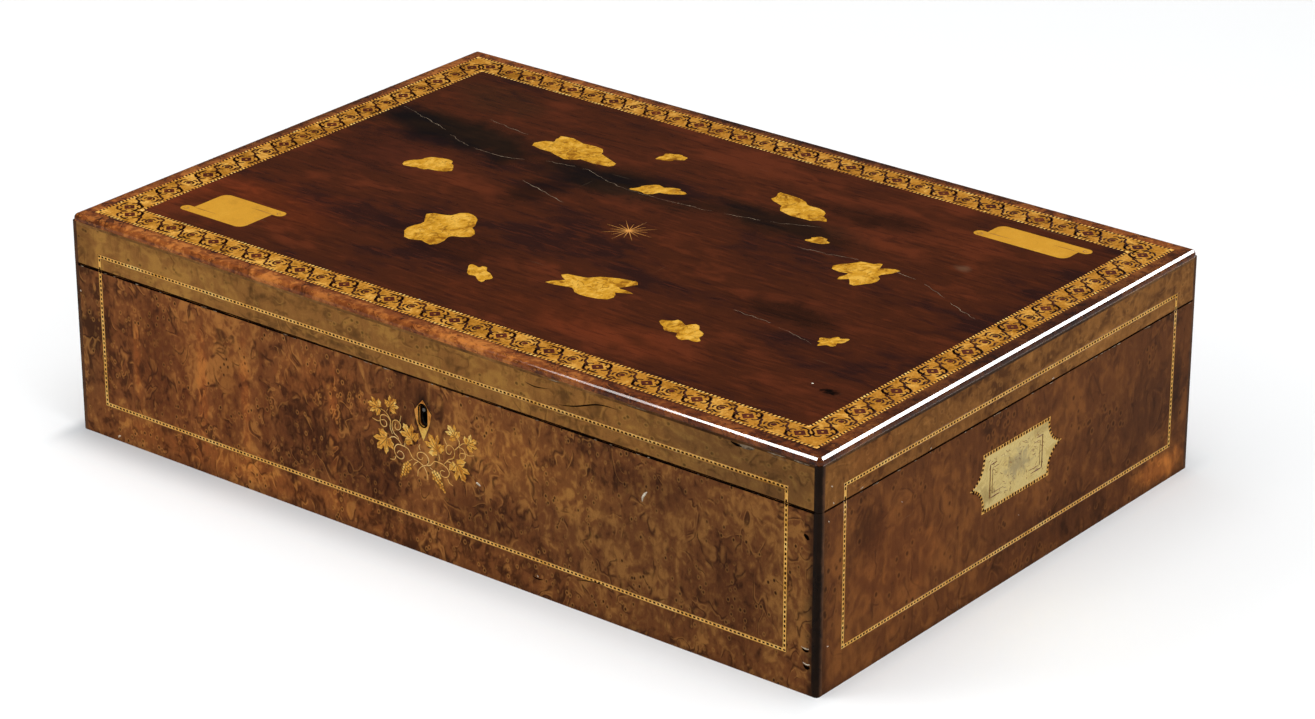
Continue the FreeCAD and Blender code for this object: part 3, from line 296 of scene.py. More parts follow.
class Effects:
    """Surface effects that several finishes share, each a node group."""

    def __init__(self) -> None:
        """Builds every effect once."""
        self.figure, self.patch = self._figure(), self._patch()
        self.wear, self.edge = self._wear(), self._edge()

    @staticmethod
    def _figure() -> Tree:
        """Figured wood in three tones: clouds, wild figure, ridges drawn as painted shade beside
        painted highlight, pips, streaks and pores.

        Returns:
            The group.
        """
        bench = NodeBench.group("wood_figure", "Shader", {VECTOR: "Place Run",
            COLOUR: "Dark Middle Light",
            NUMBER: "Cloud Figure Swirl Share Contrast Pips Pores Ridges Streaks"},
            {COLOUR: "Color", NUMBER: "Height"})
        given = bench.given
        place, scale, light = given.place, given.figure, given.light
        cloud = bench.noise(place, given.cloud, 3.0, 0.55, 0.6)
        figure = bench.noise(place, scale, 3.0, 0.5, given.swirl)
        curl = bench.noise(place, scale * 2.7, 1.5, 0.5, 0.9)
        mixed = cloud * given.share + (figure * 0.62 + curl * 0.38) * (1.0 - given.share)
        tone = bench.out("Clamp", {"Value": (mixed - 0.5) * (given.contrast * 4.0) + 0.5})
        wood = bench.blend(tone.ramp(0.0, 0.5), given.dark, given.middle)
        wood = bench.blend(tone.ramp(0.5, 1.0), wood, light)
        deep = bench.blend(0.35, given.dark, BLACK)
        fold = bench.noise(place, scale * 0.95, 1.5, 0.5, 0.9)
        found = bench.noise(place, scale * 1.3, 1.0).ramp(0.47, 0.60)
        pip = bench.out("TexVoronoi", {"Vector": place, "Scale": scale * 3.4, "Randomness": 1.0},
            feature="F1")
        chosen = bench.noise(place, scale * 0.9, 2.0).ramp(0.46, 0.58)
        streak = bench.noise(bench.vector("MULTIPLY", place, given.run), scale * 5.0, 3.0, 0.6, 0.4)
        for mark, share, colour in (
                # ridges: a dark line beside an offset light line, painted shade and painted
                # highlight of a relief
                (abs(fold - 0.50).fall(0.0, 0.042) * found, given.ridges, deep),
                (abs(fold - 0.565).fall(0.0, 0.036) * found, given.ridges, light),
                (pip.fall(0.22, 0.42) * chosen, given.pips, light),
                (pip.fall(0.10, 0.32) * chosen, given.pips, deep),
                (streak.ramp(0.55, 0.67), given.streaks, deep),
                (streak.ramp(0.45, 0.33), given.streaks, light)):
            wood = bench.blend(mark * share, wood, colour)
        pores = bench.noise(place, 1400.0, 2.0, 0.6).ramp(0.35, 0.75)
        value = (pores - 0.5) * given.pores * 0.25 + 1.0
        shade = bench.out("CombineColor", {0: value, 1: value, 2: value})
        bench.give("Color", bench.blend(1.0, wood, shade, "MULTIPLY"))
        bench.give("Height", curl * 0.7 + pores * 0.12)
        return bench.tree

    @staticmethod
    def _patch() -> Tree:
        """A soft-edged patch where the colour is deeper or brighter, ragged by noise.

        Returns:
            The group.
        """
        inputs = {VECTOR: "Place Middle Reach", NUMBER: "Ragged Scale", COLOUR: "Below Gain"}
        bench = NodeBench.group("soft_patch", "Shader", inputs, {COLOUR: "Color"})
        given = bench.given
        away = bench.vector("DIVIDE", bench.vector("SUBTRACT", given.place, given.middle),
            given.reach)
        ragged = (bench.noise(given.place, given.scale, 5.0, 0.6, 0.8) - 0.5) * (given.ragged * 2.0)
        mask = (bench.vector("LENGTH", away, key=1) + ragged).fall(0.25, 1.0)
        bench.give("Color", bench.blend(1.0, given.below, bench.blend(mask, WHITE, given.gain),
            "MULTIPLY"))
        return bench.tree

    @staticmethod
    def _wear() -> Tree:
        """Handling marks: fine scratches, dust specks and smears, as masks.

        Returns:
            The group.
        """
        bench = NodeBench.group("handling", "Shader", {VECTOR: "Place", NUMBER: "Scratch Specks"},
            {NUMBER: "Scratches Specks Smears"})
        place, marks = bench.given.place, None
        for turn, scale in ((0.4, (900.0, 22.0, 22.0)), (2.1, (26.0, 820.0, 26.0)),
                (1.2, (24.0, 24.0, 760.0))):
            way = (turn, turn * 0.7, turn * 1.3)
            turned = bench.out("Mapping", {"Vector": place, "Rotation": way, "Scale": scale})
            lines = bench.noise(turned, 1.0, 1.0, 0.4, 0.1).ramp(0.78, 0.84)
            marks = marks.most(lines) if marks else lines
        gaps = bench.noise(place, 30.0, 2.0).ramp(0.48, 0.62)
        bench.give("Scratches", marks * gaps * bench.given.scratch)
        away, colour, *_ = bench.outs("TexVoronoi", {"Vector": place, "Scale": 90.0}, feature="F1")
        dots = (away - bench.out("SeparateColor", {0: colour}) * 0.10).fall(0.0, 0.03)
        dusty = bench.noise(place, 18.0, 2.0).ramp(0.60, 0.70)
        bench.give("Specks", dots * dusty * bench.given.specks)
        bench.give("Smears", bench.noise(place, 12.0, 4.0, 0.6, 1.0).ramp(0.35, 0.75))
        return bench.tree

    @staticmethod
    def _edge() -> Tree:
        """How near a place is to the outer edges of the box, made uneven by noise.

        Returns:
            The group.
        """
        bench = NodeBench.group("outer_edge", "Shader", {VECTOR: "Place"}, {NUMBER: "Mask"})
        place, reach = bench.given.place, 0.006
        x, y, z = bench.outs("SeparateXYZ", {0: place})
        gaps = [SIZES.half_length * MM - abs(x), SIZES.half_depth * MM - abs(y),
            z.least(SIZES.height * MM - z)]
        smallest = gaps[0].least(gaps[1]).least(gaps[2])
        largest = gaps[0].most(gaps[1]).most(gaps[2])
        middle = gaps[0] + gaps[1] + gaps[2] - (smallest + largest)
        bench.give("Mask", middle.fall(0.0, bench.noise(place, 55.0, 4.0, 0.6) * 1.6 * reach))
        return bench.tree


# ---------------------------------------------------------------- finishes


class FinishBench(NodeBench):
    """Lays out one finish with the shared effects."""

    def __init__(self, name: str, effects: Effects | None = None) -> None:
        """Starts an empty material.

        Args:
            name: name of the material.
            effects: the shared effects, where it uses them.
        """
        self.material = bpy.data.materials.new(name)
        self.material.use_nodes = True
        self.material.node_tree.nodes.clear()
        super().__init__(self.material.node_tree)
        self.effects = effects
        self.place = self.out("TexCoord", key="Object")

    def lay(self, patches: Sequence["Patch"], colour: Term) -> Term:
        """The colour with the patches over it."""
        for patch in patches:
            colour = self.out("Group", {**patch.values(), "Place": self.place, "Below": colour},
                node_tree=self.effects.patch)
        return colour

    def wear(self, colour: Term, scratch: float, specks: float, pale: str,
            dark: str) -> tuple[Term, Term, Term]:
        """Lays handling marks over a colour.

        Args:
            colour: the colour.
            scratch: share of scratches.
            specks: share of specks.
            pale: tone of the scratches.
            dark: tone of the specks.

        Returns:
            The new colour, the scratches and the smears.
        """
        marks = {"Place": self.place, "Scratch": scratch, "Specks": specks}
        scratches, dots, smears = self.outs("Group", marks, node_tree=self.effects.wear)
        worn = self.blend(dots, self.blend(scratches, colour, tint(pale)), tint(dark))
        return worn, scratches, smears

    def finish(self, **values: Any) -> Material:
        """Adds the surface shader; its inputs have underscores for spaces."""
        inputs = {name.replace("_", " "): value for name, value in values.items()}
        return self.show(self.out("BsdfPrincipled", inputs))

    def show(self, surface: Term) -> Material:
        """Links the surface to the output and gives the material."""
        self.put("OutputMaterial", {"Surface": surface})
        return self.material


@dataclass(frozen=True)
class Patch:
    """A deeper or brighter patch: middle and reach in millimetres, gain of each colour."""

    middle: Point3
    reach: Point3
    gain: Point3
    ragged: float = 0.5
    scale: float = 40.0

    def values(self) -> dict:
        """What it sets on the group of patches."""
        return {"Middle": tuple(c * MM for c in self.middle),
            "Reach": tuple(c * MM for c in self.reach), "Ragged": self.ragged, "Scale": self.scale,
            "Gain": (*self.gain, 1.0)}


@dataclass(frozen=True)
class Wood:
    """A polished wood: its dark, middle and light tone, its figure, its gloss and its marks."""

    name: str
    tones: str
    stretch: Point3 = (1.0, 1.0, 1.0)
    cloud: float = 9.0
    figure: float = 42.0
    swirl: float = 1.2
    share: float = 0.5
    contrast: float = 1.0
    pips: float = 0.5
    pores: float = 0.5
    rough: float = 0.2
    specular: float = 0.3
    bump: float = 0.1
    scratch: float = 0.2
    specks: float = 0.2
    edge: float = 0.0
    # share of the ridges, a painted shade and highlight of a relief
    ridges: float = 0.4
    streaks: float = 0.0
    run: Point3 = (1.0, 1.0, 0.2)
    patches: tuple[Patch, ...] = ()

    def make(self, effects: Effects) -> Material:
        """Builds the material.

        Args:
            effects: the shared effects.

        Returns:
            The finished material.
        """
        bench = FinishBench(self.name, effects)
        values = {"Place": bench.out("Mapping", {"Vector": bench.place, "Scale": self.stretch}),
            "Run": self.run}
        values |= zip(("Dark", "Middle", "Light"), map(tint, self.tones.split()))
        for field in "Cloud Figure Swirl Share Contrast Pips Pores Ridges Streaks".split():
            values[field] = getattr(self, field.lower())
        colour, height = bench.outs("Group", values, node_tree=effects.figure)
        colour = bench.lay(self.patches, colour)
        if self.edge:
            near = bench.out("Group", {"Place": bench.place}, node_tree=effects.edge)
            colour = bench.blend(near * self.edge, colour, tint("1A100C"))
        colour, scratches, smears = bench.wear(colour, self.scratch, self.specks, "A08A6C",
            "140C08")
        relief = height * self.bump - scratches * 0.3
        return bench.finish(Base_Color=colour, Roughness=smears * 0.05 + self.rough,
            Specular_IOR_Level=self.specular, Normal=bench.bump(relief, 0.5))


@dataclass(frozen=True)
class Metal:
    """Aged metal: clean and tarnished tones, gloss and scratches."""

    name: str
    clean: str
    tarnish: str
    rough: float = 0.32
    metallic: float = 0.9
    scratch: float = 0.6
    share: float = 0.5
    patches: tuple[Patch, ...] = ()

    def make(self, effects: Effects) -> Material:
        """Builds the material.

        Args:
            effects: the shared effects.

        Returns:
            The finished material.
        """
        bench = FinishBench(self.name, effects)
        cloud = bench.noise(bench.place, 70.0, 6.0, 0.65, 0.8).ramp(0.38, 0.68)
        colour = bench.blend(cloud * self.share, tint(self.clean), tint(self.tarnish))
        colour = bench.lay(self.patches, colour)
        colour, scratches, _ = bench.wear(colour, self.scratch, 0.5, "F2EAC4", "3A3020")
        height = bench.noise(bench.place, 160.0, 4.0, 0.6) * 0.6 + scratches * -0.5
        return bench.finish(Base_Color=colour, Roughness=cloud * 0.18 + self.rough,
            Metallic=self.metallic - cloud * 0.2, Normal=bench.bump(height, 0.35))


@dataclass(frozen=True)
class Cloth:
    """Napped woollen cloth."""

    name: str
    deep: str
    worn: str

    def make(self, effects: Effects) -> Material:
        """Builds the material.

        Args:
            effects: the shared effects.

        Returns:
            The finished material.
        """
        bench = FinishBench(self.name, effects)
        nap = bench.noise(bench.place, 1900.0, 3.0, 0.7, 0.6)
        fade = bench.noise(bench.place, 9.0, 4.0, 0.6, 0.4).ramp(0.35, 0.75)
        colour = bench.blend(fade * 0.6 + nap * 0.45, tint(self.deep), tint(self.worn))
        colour, *_ = bench.wear(colour, 0.0, 0.35, self.worn, "2A2A1C")
        return bench.finish(Base_Color=colour, Roughness=0.95, Normal=bench.bump(nap, 0.6, 0.0006),
            Specular_IOR_Level=0.1, Sheen_Weight=0.25, Sheen_Roughness=0.5)


def across_front(*rows: tuple) -> tuple[Patch, ...]:
    """Patches of the front, each with its middle and reach given across and up."""
    return tuple(Patch((x, -199, z), (a, 20, c), *rest) for (x, z), (a, c), *rest in rows)


def across_end(*rows: tuple) -> tuple[Patch, ...]:
    """Patches of the right end, each with its middle and reach given from front to back and up."""
    return tuple(Patch((299, y, z), (20, b, c), *rest) for (y, z), (b, c), *rest in rows)


def across_top(*rows: tuple) -> tuple[Patch, ...]:
    """Patches of the top, each with its middle and reach given across and from front to back."""
    return tuple(Patch((x, y, 152), (a, b, 20), *rest) for (x, y), (a, b), *rest in rows)


FRONT_PATCHES = across_front(
    ((-272, 62), (6, 64), (0.74, 0.70, 0.70), 0.9, 70.0),
    ((-205, 62), (7, 64), (0.72, 0.66, 0.66), 0.9, 70.0),
    ((-188, 62), (6, 64), (1.24, 1.12, 1.02), 0.9, 70.0),
    ((-150, 62), (5, 64), (1.24, 1.12, 1.02), 0.9, 70.0),
    ((-134, 62), (7, 64), (0.74, 0.68, 0.68), 0.9, 70.0),
    ((-92, 62), (6, 64), (0.78, 0.72, 0.72), 0.9, 70.0),
    ((-74, 62), (5, 64), (1.20, 1.10, 1.02), 0.9, 70.0),
    ((-30, 62), (5, 64), (0.80, 0.76, 0.76), 0.9, 70.0),
    ((-228, 66), (22, 70), (0.66, 0.62, 0.62), 0.8, 60.0),
    ((-166, 52), (15, 60), (0.74, 0.70, 0.70), 0.8, 60.0),
    ((-112, 50), (14, 60), (0.68, 0.64, 0.66), 0.8, 60.0),
    ((48, 36), (46, 24), (0.62, 0.60, 0.62), 0.8, 60.0),
    ((-4, 100), (34, 24), (0.56, 0.54, 0.58), 0.6, 60.0),
    ((-50, 40), (52, 28), (0.62, 0.58, 0.60), 0.8, 60.0),
    ((200, 60), (190, 120), (0.68, 0.72, 0.80), 0.4, 24.0),
    ((172, 100), (42, 12), (0.66, 0.62, 0.64), 0.8, 60.0),
    ((238, 50), (26, 50), (0.72, 0.68, 0.70), 0.8, 60.0),
    ((-290, 70), (16, 80), (0.80, 0.86, 0.92), 0.6, 60.0),
    ((-246, 62), (4, 40), (1.42, 1.34, 1.14), 0.9, 90.0),
    ((-200, 66), (110, 90), (1.02, 0.95, 0.93), 0.4, 40.0),
    ((-150, 14), (150, 15), (1.35, 1.28, 1.12), 0.9, 60.0),
    ((-84, 90), (52, 26), (1.26, 1.20, 1.10), 0.8, 50.0),
    ((100, 84), (80, 30), (1.26, 1.30, 1.20), 0.8, 50.0),
    ((301, 60), (14, 400), (0.40, 0.44, 0.52), 0.5, 60.0),
    ((299, 60), (7, 400), (0.45, 0.42, 0.46), 0.4, 90.0),
    # painted shade: nearly black round the keyhole, which shows on the veneer's wall of the hole
    ((0, 94), (9, 20), (0.05, 0.05, 0.06), 0.1, 60.0),
)

LID_PATCHES = across_front(
    ((-292, 134), (16, 34), (0.68, 0.64, 0.66), 0.7, 60.0),
    ((250, 133), (110, 40), (0.62, 0.64, 0.76), 0.5, 40.0),
    ((20, 136), (70, 20), (0.92, 0.90, 0.90), 0.8, 50.0),
    ((-200, 145), (90, 6), (0.80, 0.78, 0.80), 0.8, 60.0),
)

END_PATCHES = across_end(
    ((165, 13), (36, 12), (2.6, 2.5, 1.9), 0.7, 60.0),
    ((-155, 88), (22, 30), (0.62, 0.58, 0.60), 0.8, 60.0),
    ((150, 60), (80, 40), (0.72, 0.72, 0.80), 0.8, 40.0),
    ((60, 20), (120, 22), (0.78, 0.76, 0.80), 0.7, 40.0),
    ((-120, 60), (70, 50), (1.10, 1.04, 1.0), 0.7, 40.0),
    ((-201, 60), (13, 400), (0.50, 0.52, 0.60), 0.5, 60.0),
    ((182, 60), (8, 40), (0.50, 0.50, 0.54), 0.6, 60.0),
)

LID_END_PATCHES = across_end(
    ((120, 133), (150, 60), (1.22, 1.26, 1.28), 0.5, 30.0),
    ((-150, 134), (40, 30), (1.02, 0.94, 0.92), 0.8, 50.0),
)

FIELD_PATCHES = across_top(
    ((-215, 10), (60, 60), (0.78, 0.80, 0.98), 0.7, 26.0),
    ((-190, 66), (110, 38), (0.22, 0.42, 0.60), 0.6, 20.0),
    ((-60, 58), (100, 34), (0.24, 0.44, 0.62), 0.6, 20.0),
    ((70, 70), (100, 26), (0.32, 0.50, 0.66), 0.6, 22.0),
    ((-95, 12), (26, 34), (0.42, 0.50, 0.60), 0.7, 26.0),
    ((105, 112), (60, 24), (0.45, 0.52, 0.60), 0.7, 26.0),
    ((165, -44), (60, 20), (0.45, 0.52, 0.60), 0.7, 30.0),
    ((-70, -90), (60, 30), (0.70, 0.72, 0.78), 0.7, 26.0),
    ((-215, -110), (85, 60), (1.55, 1.30, 1.05), 0.7, 22.0),
    ((60, -130), (120, 30), (1.20, 1.12, 1.00), 0.7, 22.0),
    ((-225, 130), (60, 34), (0.80, 1.0, 1.05), 0.7, 22.0),
    ((247, -121), (9, 5), (0.06, 0.08, 0.10), 0.9, 160.0),
)

# The first four patches darken the moulding's right, back and left sides and the near end of its
# front: painted shade.
MOULDING_PATCHES = (
    Patch((299, 0, 150), (26, 330, 20), (0.20, 0.17, 0.20), 0.15),
    Patch((0, 199, 150), (330, 14, 20), (0.18, 0.16, 0.18), 0.15),
    Patch((-299, 20, 150), (14, 240, 20), (0.30, 0.28, 0.30), 0.15),
    Patch((230, -199, 150), (190, 26, 20), (0.50, 0.42, 0.46), 0.5, 60.0),
    Patch((0, -188.6, 152), (1600, 4.2, 20), (0.50, 0.42, 0.42), 0.35, 90.0),
    Patch((-60, -199, 150), (60, 14, 20), (0.78, 0.74, 0.78), 0.7, 60.0),
)

EDGING_PATCHES = (
    Patch((300, -200, 75), (12, 5, 400), (0.10, 0.11, 0.13), 0.3, 120.0),
    Patch((-300, -200, 75), (3, 3, 400), (0.45, 0.45, 0.50), 0.3, 120.0),
    Patch((300, 200, 75), (3, 3, 400), (0.35, 0.35, 0.40), 0.3, 120.0),
)

# Painted shade: darkens the line under the moulding towards the near end of the front, along the
# right end and along the back.
EDGE_LINE_SHADE_PATCHES = (
    Patch((240, -200, 146), (150, 4, 12), (0.30, 0.26, 0.24), 0.5, 60.0),
    Patch((300, -30, 146), (5, 240, 12), (0.20, 0.19, 0.22), 0.5, 60.0),
    Patch((0, 200, 146), (400, 5, 12), (0.30, 0.28, 0.30), 0.3, 60.0),
)

BURR = dict(figure=60.0, swirl=1.3, share=0.42, pips=0.8, pores=0.6, specular=0.07, streaks=0.25,
    edge=0.35)
PLAIN = dict(cloud=14.0, figure=60.0, swirl=0.5, contrast=0.8, pips=0.1, pores=0.6, rough=0.3,
    specular=0.2, ridges=0.0)
LINE = dict(cloud=50.0, figure=260.0, specular=0.02, rough=0.6)


def burr(name: str, tones: str, **own: Any) -> Wood:
    """Burr veneer: wild figure with streaks and darker edges; own settings go over these."""
    return Wood(name, tones, **{**BURR, **own})


def plain(name: str, tones: str, **own: Any) -> Wood:
    """Plain straight-grained wood; own settings go over these."""
    return Wood(name, tones, **{**PLAIN, **own})


def line(name: str, tones: str, **own: Any) -> Wood:
    """Wood fine enough for laid lines, which don't shine; own settings go over these."""
    return Wood(name, tones, **{**LINE, **own})


FINISHES = {
    "front_burr": burr("front_burr", "502B14 834D27 B2763A", stretch=(1.2, 1.0, 0.92), cloud=8.0,
        swirl=1.5, contrast=1.1, pips=1.0, specular=0.1, ridges=0.78, streaks=0.2,
        run=(1.0, 1.0, 0.4), patches=FRONT_PATCHES),
    "lid_burr": burr("lid_burr", "67441F 966531 B17F3C", stretch=(0.8, 1.0, 1.0), share=0.4,
        specular=0.1, edge=0.3, ridges=0.5, patches=LID_PATCHES),
    "end_burr": burr("end_burr", "472711 6A3D1E 8A5428", stretch=(1.0, 1.0, 0.85), cloud=8.0,
        figure=44.0, share=0.46, streaks=0.22, patches=END_PATCHES),
    "lid_end_burr": burr("lid_end_burr", "5C3719 865729 A87239", stretch=(1.0, 0.8, 1.0),
        figure=56.0, pips=0.5, edge=0.3, ridges=0.3, patches=LID_END_PATCHES),
    "field": plain("field_mahogany", "2E1611 452010 5E2B16", stretch=(0.6, 1.2, 1.0), cloud=8.0,
        figure=26.0, contrast=1.1, pips=0.2, rough=0.08, specular=0.05, bump=0.05, scratch=0.14,
        specks=0.5, ridges=0.1, streaks=0.4, run=(0.5, 2.2, 1.0), patches=FIELD_PATCHES),
    "moulding": plain("moulding_mahogany", "56290F 8C4A1E C27634", stretch=(0.8, 0.8, 1.0),
        cloud=22.0, figure=110.0, swirl=1.0, share=0.4, contrast=1.3, pips=0.8, rough=0.05,
        specular=0.5, bump=0.05, specks=0.7, ridges=0.6, patches=MOULDING_PATCHES),
    "carcase": plain("carcase_mahogany", "4A2415 6E3A22 8A4E2E", stretch=(0.35, 1.6, 1.6),
        # painted shade: nearly black round the keyhole, on the board's wall of the hole
        patches=(Patch((0, -196, 94), (12, 7, 24), (0.03, 0.03, 0.04), 0.1),)),
    "upright_carcase": plain("upright_carcase", "482314 6A3820 874C2D", stretch=(1.6, 0.35, 1.6)),
    "edging": Wood("corner_edging", "3E2718 5C3A22 734A2C", stretch=(1.0, 1.0, 0.5), cloud=20.0,
        figure=90.0, swirl=0.8, contrast=0.9, pips=0.3, pores=0.4, rough=0.22, specular=0.14,
        patches=EDGING_PATCHES),
    "edge_line": Wood("edge_line", "5A3A1E 7C5429 94683A", cloud=30.0, figure=160.0, swirl=0.6,
        pips=0.2, rough=0.4, specular=0.08, specks=0.3, patches=EDGE_LINE_SHADE_PATCHES),
    # dark lines and marks: grime, and painted shade in the gap under the lid
    "dirt": Wood("joint_dirt", "050302 090503 140B07", cloud=30.0, figure=160.0, rough=0.9,
        specular=0.0, scratch=0.0, specks=0.0),
    "light": Wood("light_line", "D6983C F6BC62 FFD680", cloud=40.0, figure=240.0, swirl=0.4,
        contrast=0.9, pips=0.1, rough=0.35, specular=0.03,
        patches=(Patch((190, -200, SIZES.stringing_top - 2.6), (210, 5, 1.7), (0.5, 0.46, 0.42),
        0.2),)),
    "gold": Wood("gold_satinwood", "96600F CE9424 E6B044", stretch=(1.0, 0.8, 1.0), cloud=40.0,
        figure=120.0, share=0.35, contrast=1.3, pips=0.7, pores=0.6, specular=0.08, ridges=0.6),
    "scroll_gold": Wood("scroll_satinwood", "BC8426 D3982C DEA63A", stretch=(1.0, 0.8, 1.0),
        cloud=24.0, figure=90.0, swirl=0.8, contrast=0.6, pips=0.1, pores=0.4, specular=0.12,
        ridges=0.1),
    "leaf_gold": Wood("leaf_gold", "BA7428 EAA844 FFD87C", cloud=70.0, figure=200.0, contrast=1.3,
        rough=0.35, specular=0.04),
    "border_gold": Wood("border_gold", "96600F BC7E26 E0A648", cloud=60.0, figure=200.0, rough=0.22,
        specular=0.12, ridges=0.3, patches=(Patch((-230, -140, 152), (330, 160, 20),
        (1.1, 1.14, 1.22), 0.4, 30.0),)),
    "tan": Wood("tan_line", "B87434 DE9A4A F2B866", cloud=40.0, figure=240.0, swirl=0.4,
        contrast=0.7, pips=0.1, specular=0.14),
    "key_plate": Wood("key_plate", "B06C2A DA9444 F0B65C", cloud=60.0, figure=200.0, rough=0.35,
        specular=0.08, patches=(Patch((0, -200, 82), (14, 20, 10), (1.05, 1.26, 1.2), 0.4, 90.0),)),
    "dark_dot": line("dark_dot", "1C0B04 2E1406 40200C"),
    "dark_line": line("dark_line", "2A1003 3E1A05 58290C"),
    "red_diamond": line("red_diamond", "38120A 501E0C 6C3012", rough=0.5, specular=0.04),
    "vein": line("engraved_vein", "6A3F18 87551F A06A2C", rough=0.4, specular=0.1),
    "stem": line("stem_line", "D09844 F0BA68 FCD48A", pips=0.0, rough=0.4),
    "crack": line("open_crack", "5A4A3A 8A7660 AA9880", cloud=60.0, figure=120.0, contrast=1.4,
        specular=0.05),
    "pale_mark": line("bare_mark", "A8937A D8CCB4 F0E8D8", cloud=60.0, figure=200.0, contrast=1.2,
        specular=0.05),
    "chip": line("chipped_edge", "4A3C2E 7C6A55 9C8C76", cloud=120.0, contrast=1.4, rough=0.7,
        specular=0.05),
    "plate": Metal("plate_brass", "E8D08A", "A28A48", 0.42, 0.7, 1.0, 0.85,
        (Patch((300, 2, 76), (10, 17, 11), (0.62, 0.62, 0.74), 1.3, 160.0),
        Patch((300, -32, 66), (10, 16, 9), (0.66, 0.62, 0.56), 1.2, 140.0),
        Patch((300, 28, 90), (10, 22, 5), (0.74, 0.7, 0.64), 1.2, 140.0))),
    "hinge": Metal("hinge_brass", "C99B4C", "7A5A2A", 0.34, 0.95, 0.6, 0.6),
    "steel": Metal("lock_steel", "8C8A86", "4A4540", 0.38, 0.95, 0.5, 0.6),
    "baize": Cloth("green_baize", "1E2E1C", "3C4C30"),
}


class FinishShelf:
    """Every material, made once when it is first asked for."""

    def __init__(self) -> None:
        """Starts with the shared effects and no material."""
        self.effects = Effects()
        self.made: dict[str, Material] = {}

    def get(self, name: str) -> Material:
        """The material of that name."""
        if name not in self.made:
            self.made[name] = FINISHES[name].make(self.effects)
        return self.made[name]


# ---------------------------------------------------------------- making pieces


def ray(angle: float, across: float = 1.0, up: float | None = None) -> Point2:
    """The point at an angle, in radians, on a circle, or on an oval of two radii."""
    return (across * math.cos(angle), (across if up is None else up) * math.sin(angle))


def points(text: str) -> tuple[Point2, ...]:
    """Points written as pairs of numbers, such as 1.5,2 3,4."""
    return tuple(tuple(float(number) for number in pair.split(",")) for pair in text.split())


def add_piece(name: str, mesh: bpy.types.Mesh, finish: Material | None = None) -> Piece:
    """Puts a mesh into the scene.

    Args:
        name: name of the piece.
        mesh: its mesh.
        finish: its material, where it has one.

    Returns:
        The piece.
    """
    if finish:
        mesh.materials.clear()
        mesh.materials.append(finish)
    made = bpy.data.objects.new(name, mesh)
    bpy.context.scene.collection.objects.link(made)
    return made


def mesh_object(name: str, spots: Iterable, edges: Iterable = (), faces: Iterable = ()) -> Piece:
    """A new mesh object in the scene.

    Args:
        name: its name.
        spots: its points, in metres.
        edges: pairs of point numbers.
        faces: rings of point numbers.

    Returns:
        The object.
    """
    mesh = bpy.data.meshes.new(name)
    mesh.from_pydata(list(spots), list(edges), list(faces))
    return add_piece(name, mesh)


def shape_object(name: str, shape: bmesh.types.BMesh, finish: Material) -> Piece:
    """A new piece from a bmesh, which it frees.

    Args:
        name: name of the piece.
        shape: the bmesh.
        finish: its material.

    Returns:
        The piece.
    """
    mesh = bpy.data.meshes.new(name)
    shape.to_mesh(mesh)
    shape.free()
    return add_piece(name, mesh, finish)


def tidy_normals(piece: Piece) -> Piece:
    """Merges doubled points and turns every face outwards.

    Args:
        piece: the piece.

    Returns:
        The same piece.
    """
    shape = bmesh.new()
    shape.from_mesh(piece.data)
    bmesh.ops.remove_doubles(shape, verts=shape.verts, dist=1e-7)
    bmesh.ops.recalc_face_normals(shape, faces=shape.faces)
    shape.to_mesh(piece.data)
    shape.free()
    return piece


def join(parts: Sequence[Piece], name: str) -> Piece:
    """Joins meshes of one finish into one piece.

    Args:
        parts: the meshes; they are removed.
        name: name of the piece.

    Returns:
        The piece.
    """
    shape = bmesh.new()
    for part in parts:
        shape.from_mesh(part.data)
    finish = parts[0].data.materials[0]
    for part in parts:
        bpy.data.objects.remove(part)
    return shape_object(name, shape, finish)


def install(piece: Piece, body: Body, stands_for: str | None = None) -> None:
    """Hands a finished piece to its body.

    Args:
        piece: the finished piece.
        body: what it moves with.
        stands_for: node that it replaces.
    """
    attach(piece, body.value)
    if stands_for:
        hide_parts(stands_for)
    log.info("%s: %d faces on %s", piece.name, len(piece.data.polygons), body.value)


def small_plate(outline: Sequence[Point2], top: float = PROUD) -> Piece:
    """A flat plate let into its face; a helper for rows.

    Args:
        outline: its outline, in millimetres.
        top: how far it stands above the face, in millimetres.

    Returns:
        The plate.
    """
    count = len(outline)
    spots = [(x * MM, y * MM, level * MM) for level in (top - LET_IN, top) for x, y in outline]
    faces = [tuple(reversed(range(count))), tuple(range(count, 2 * count))]
    faces += [(i, (i + 1) % count, count + (i + 1) % count, count + i) for i in range(count)]
    return mesh_object("small_plate", spots, faces=faces)


def disc(radius: float) -> Piece:
    """A small round of ten sides; a helper for rows."""
    return small_plate([ray(math.pi / 5 * step, radius) for step in range(10)])


@dataclass(frozen=True)
class Stroke:
    """A line on a flat drawing, in millimetres; its ends taper to a share of its width."""

    points: tuple[Point2, ...]
    width: float = 0.9
    ends: float = 1.0

    @classmethod
    def row(cls, *lines: tuple) -> list["Stroke"]:
        """Strokes from lines of written points, width and ends."""
        return [cls(points(text), *rest) for text, *rest in lines]

    def breadth(self, number: int) -> float:
        """Its width at one of its points.

        Args:
            number: the point's number.

        Returns:
            The width, in millimetres.
        """
        last = len(self.points) - 1
        share = min(number, last - number) / max(1.0, last / 3)
        return self.width * (self.ends + (1 - self.ends) * min(1.0, share))


def draw_runs(name: str, runs: Iterable[Sequence[Point2]]) -> Piece:
    """A helper with one chain of edges for each run.

    Args:
        name: name of the helper.
        runs: the points of each run, in millimetres.

    Returns:
        The helper.
    """
    spots, edges = [], []
    for run in runs:
        edges.extend((len(spots) + i, len(spots) + i + 1) for i in range(len(run) - 1))
        spots.extend((across * MM, up * MM, 0.0) for across, up in run)
    return mesh_object(name, spots, edges)


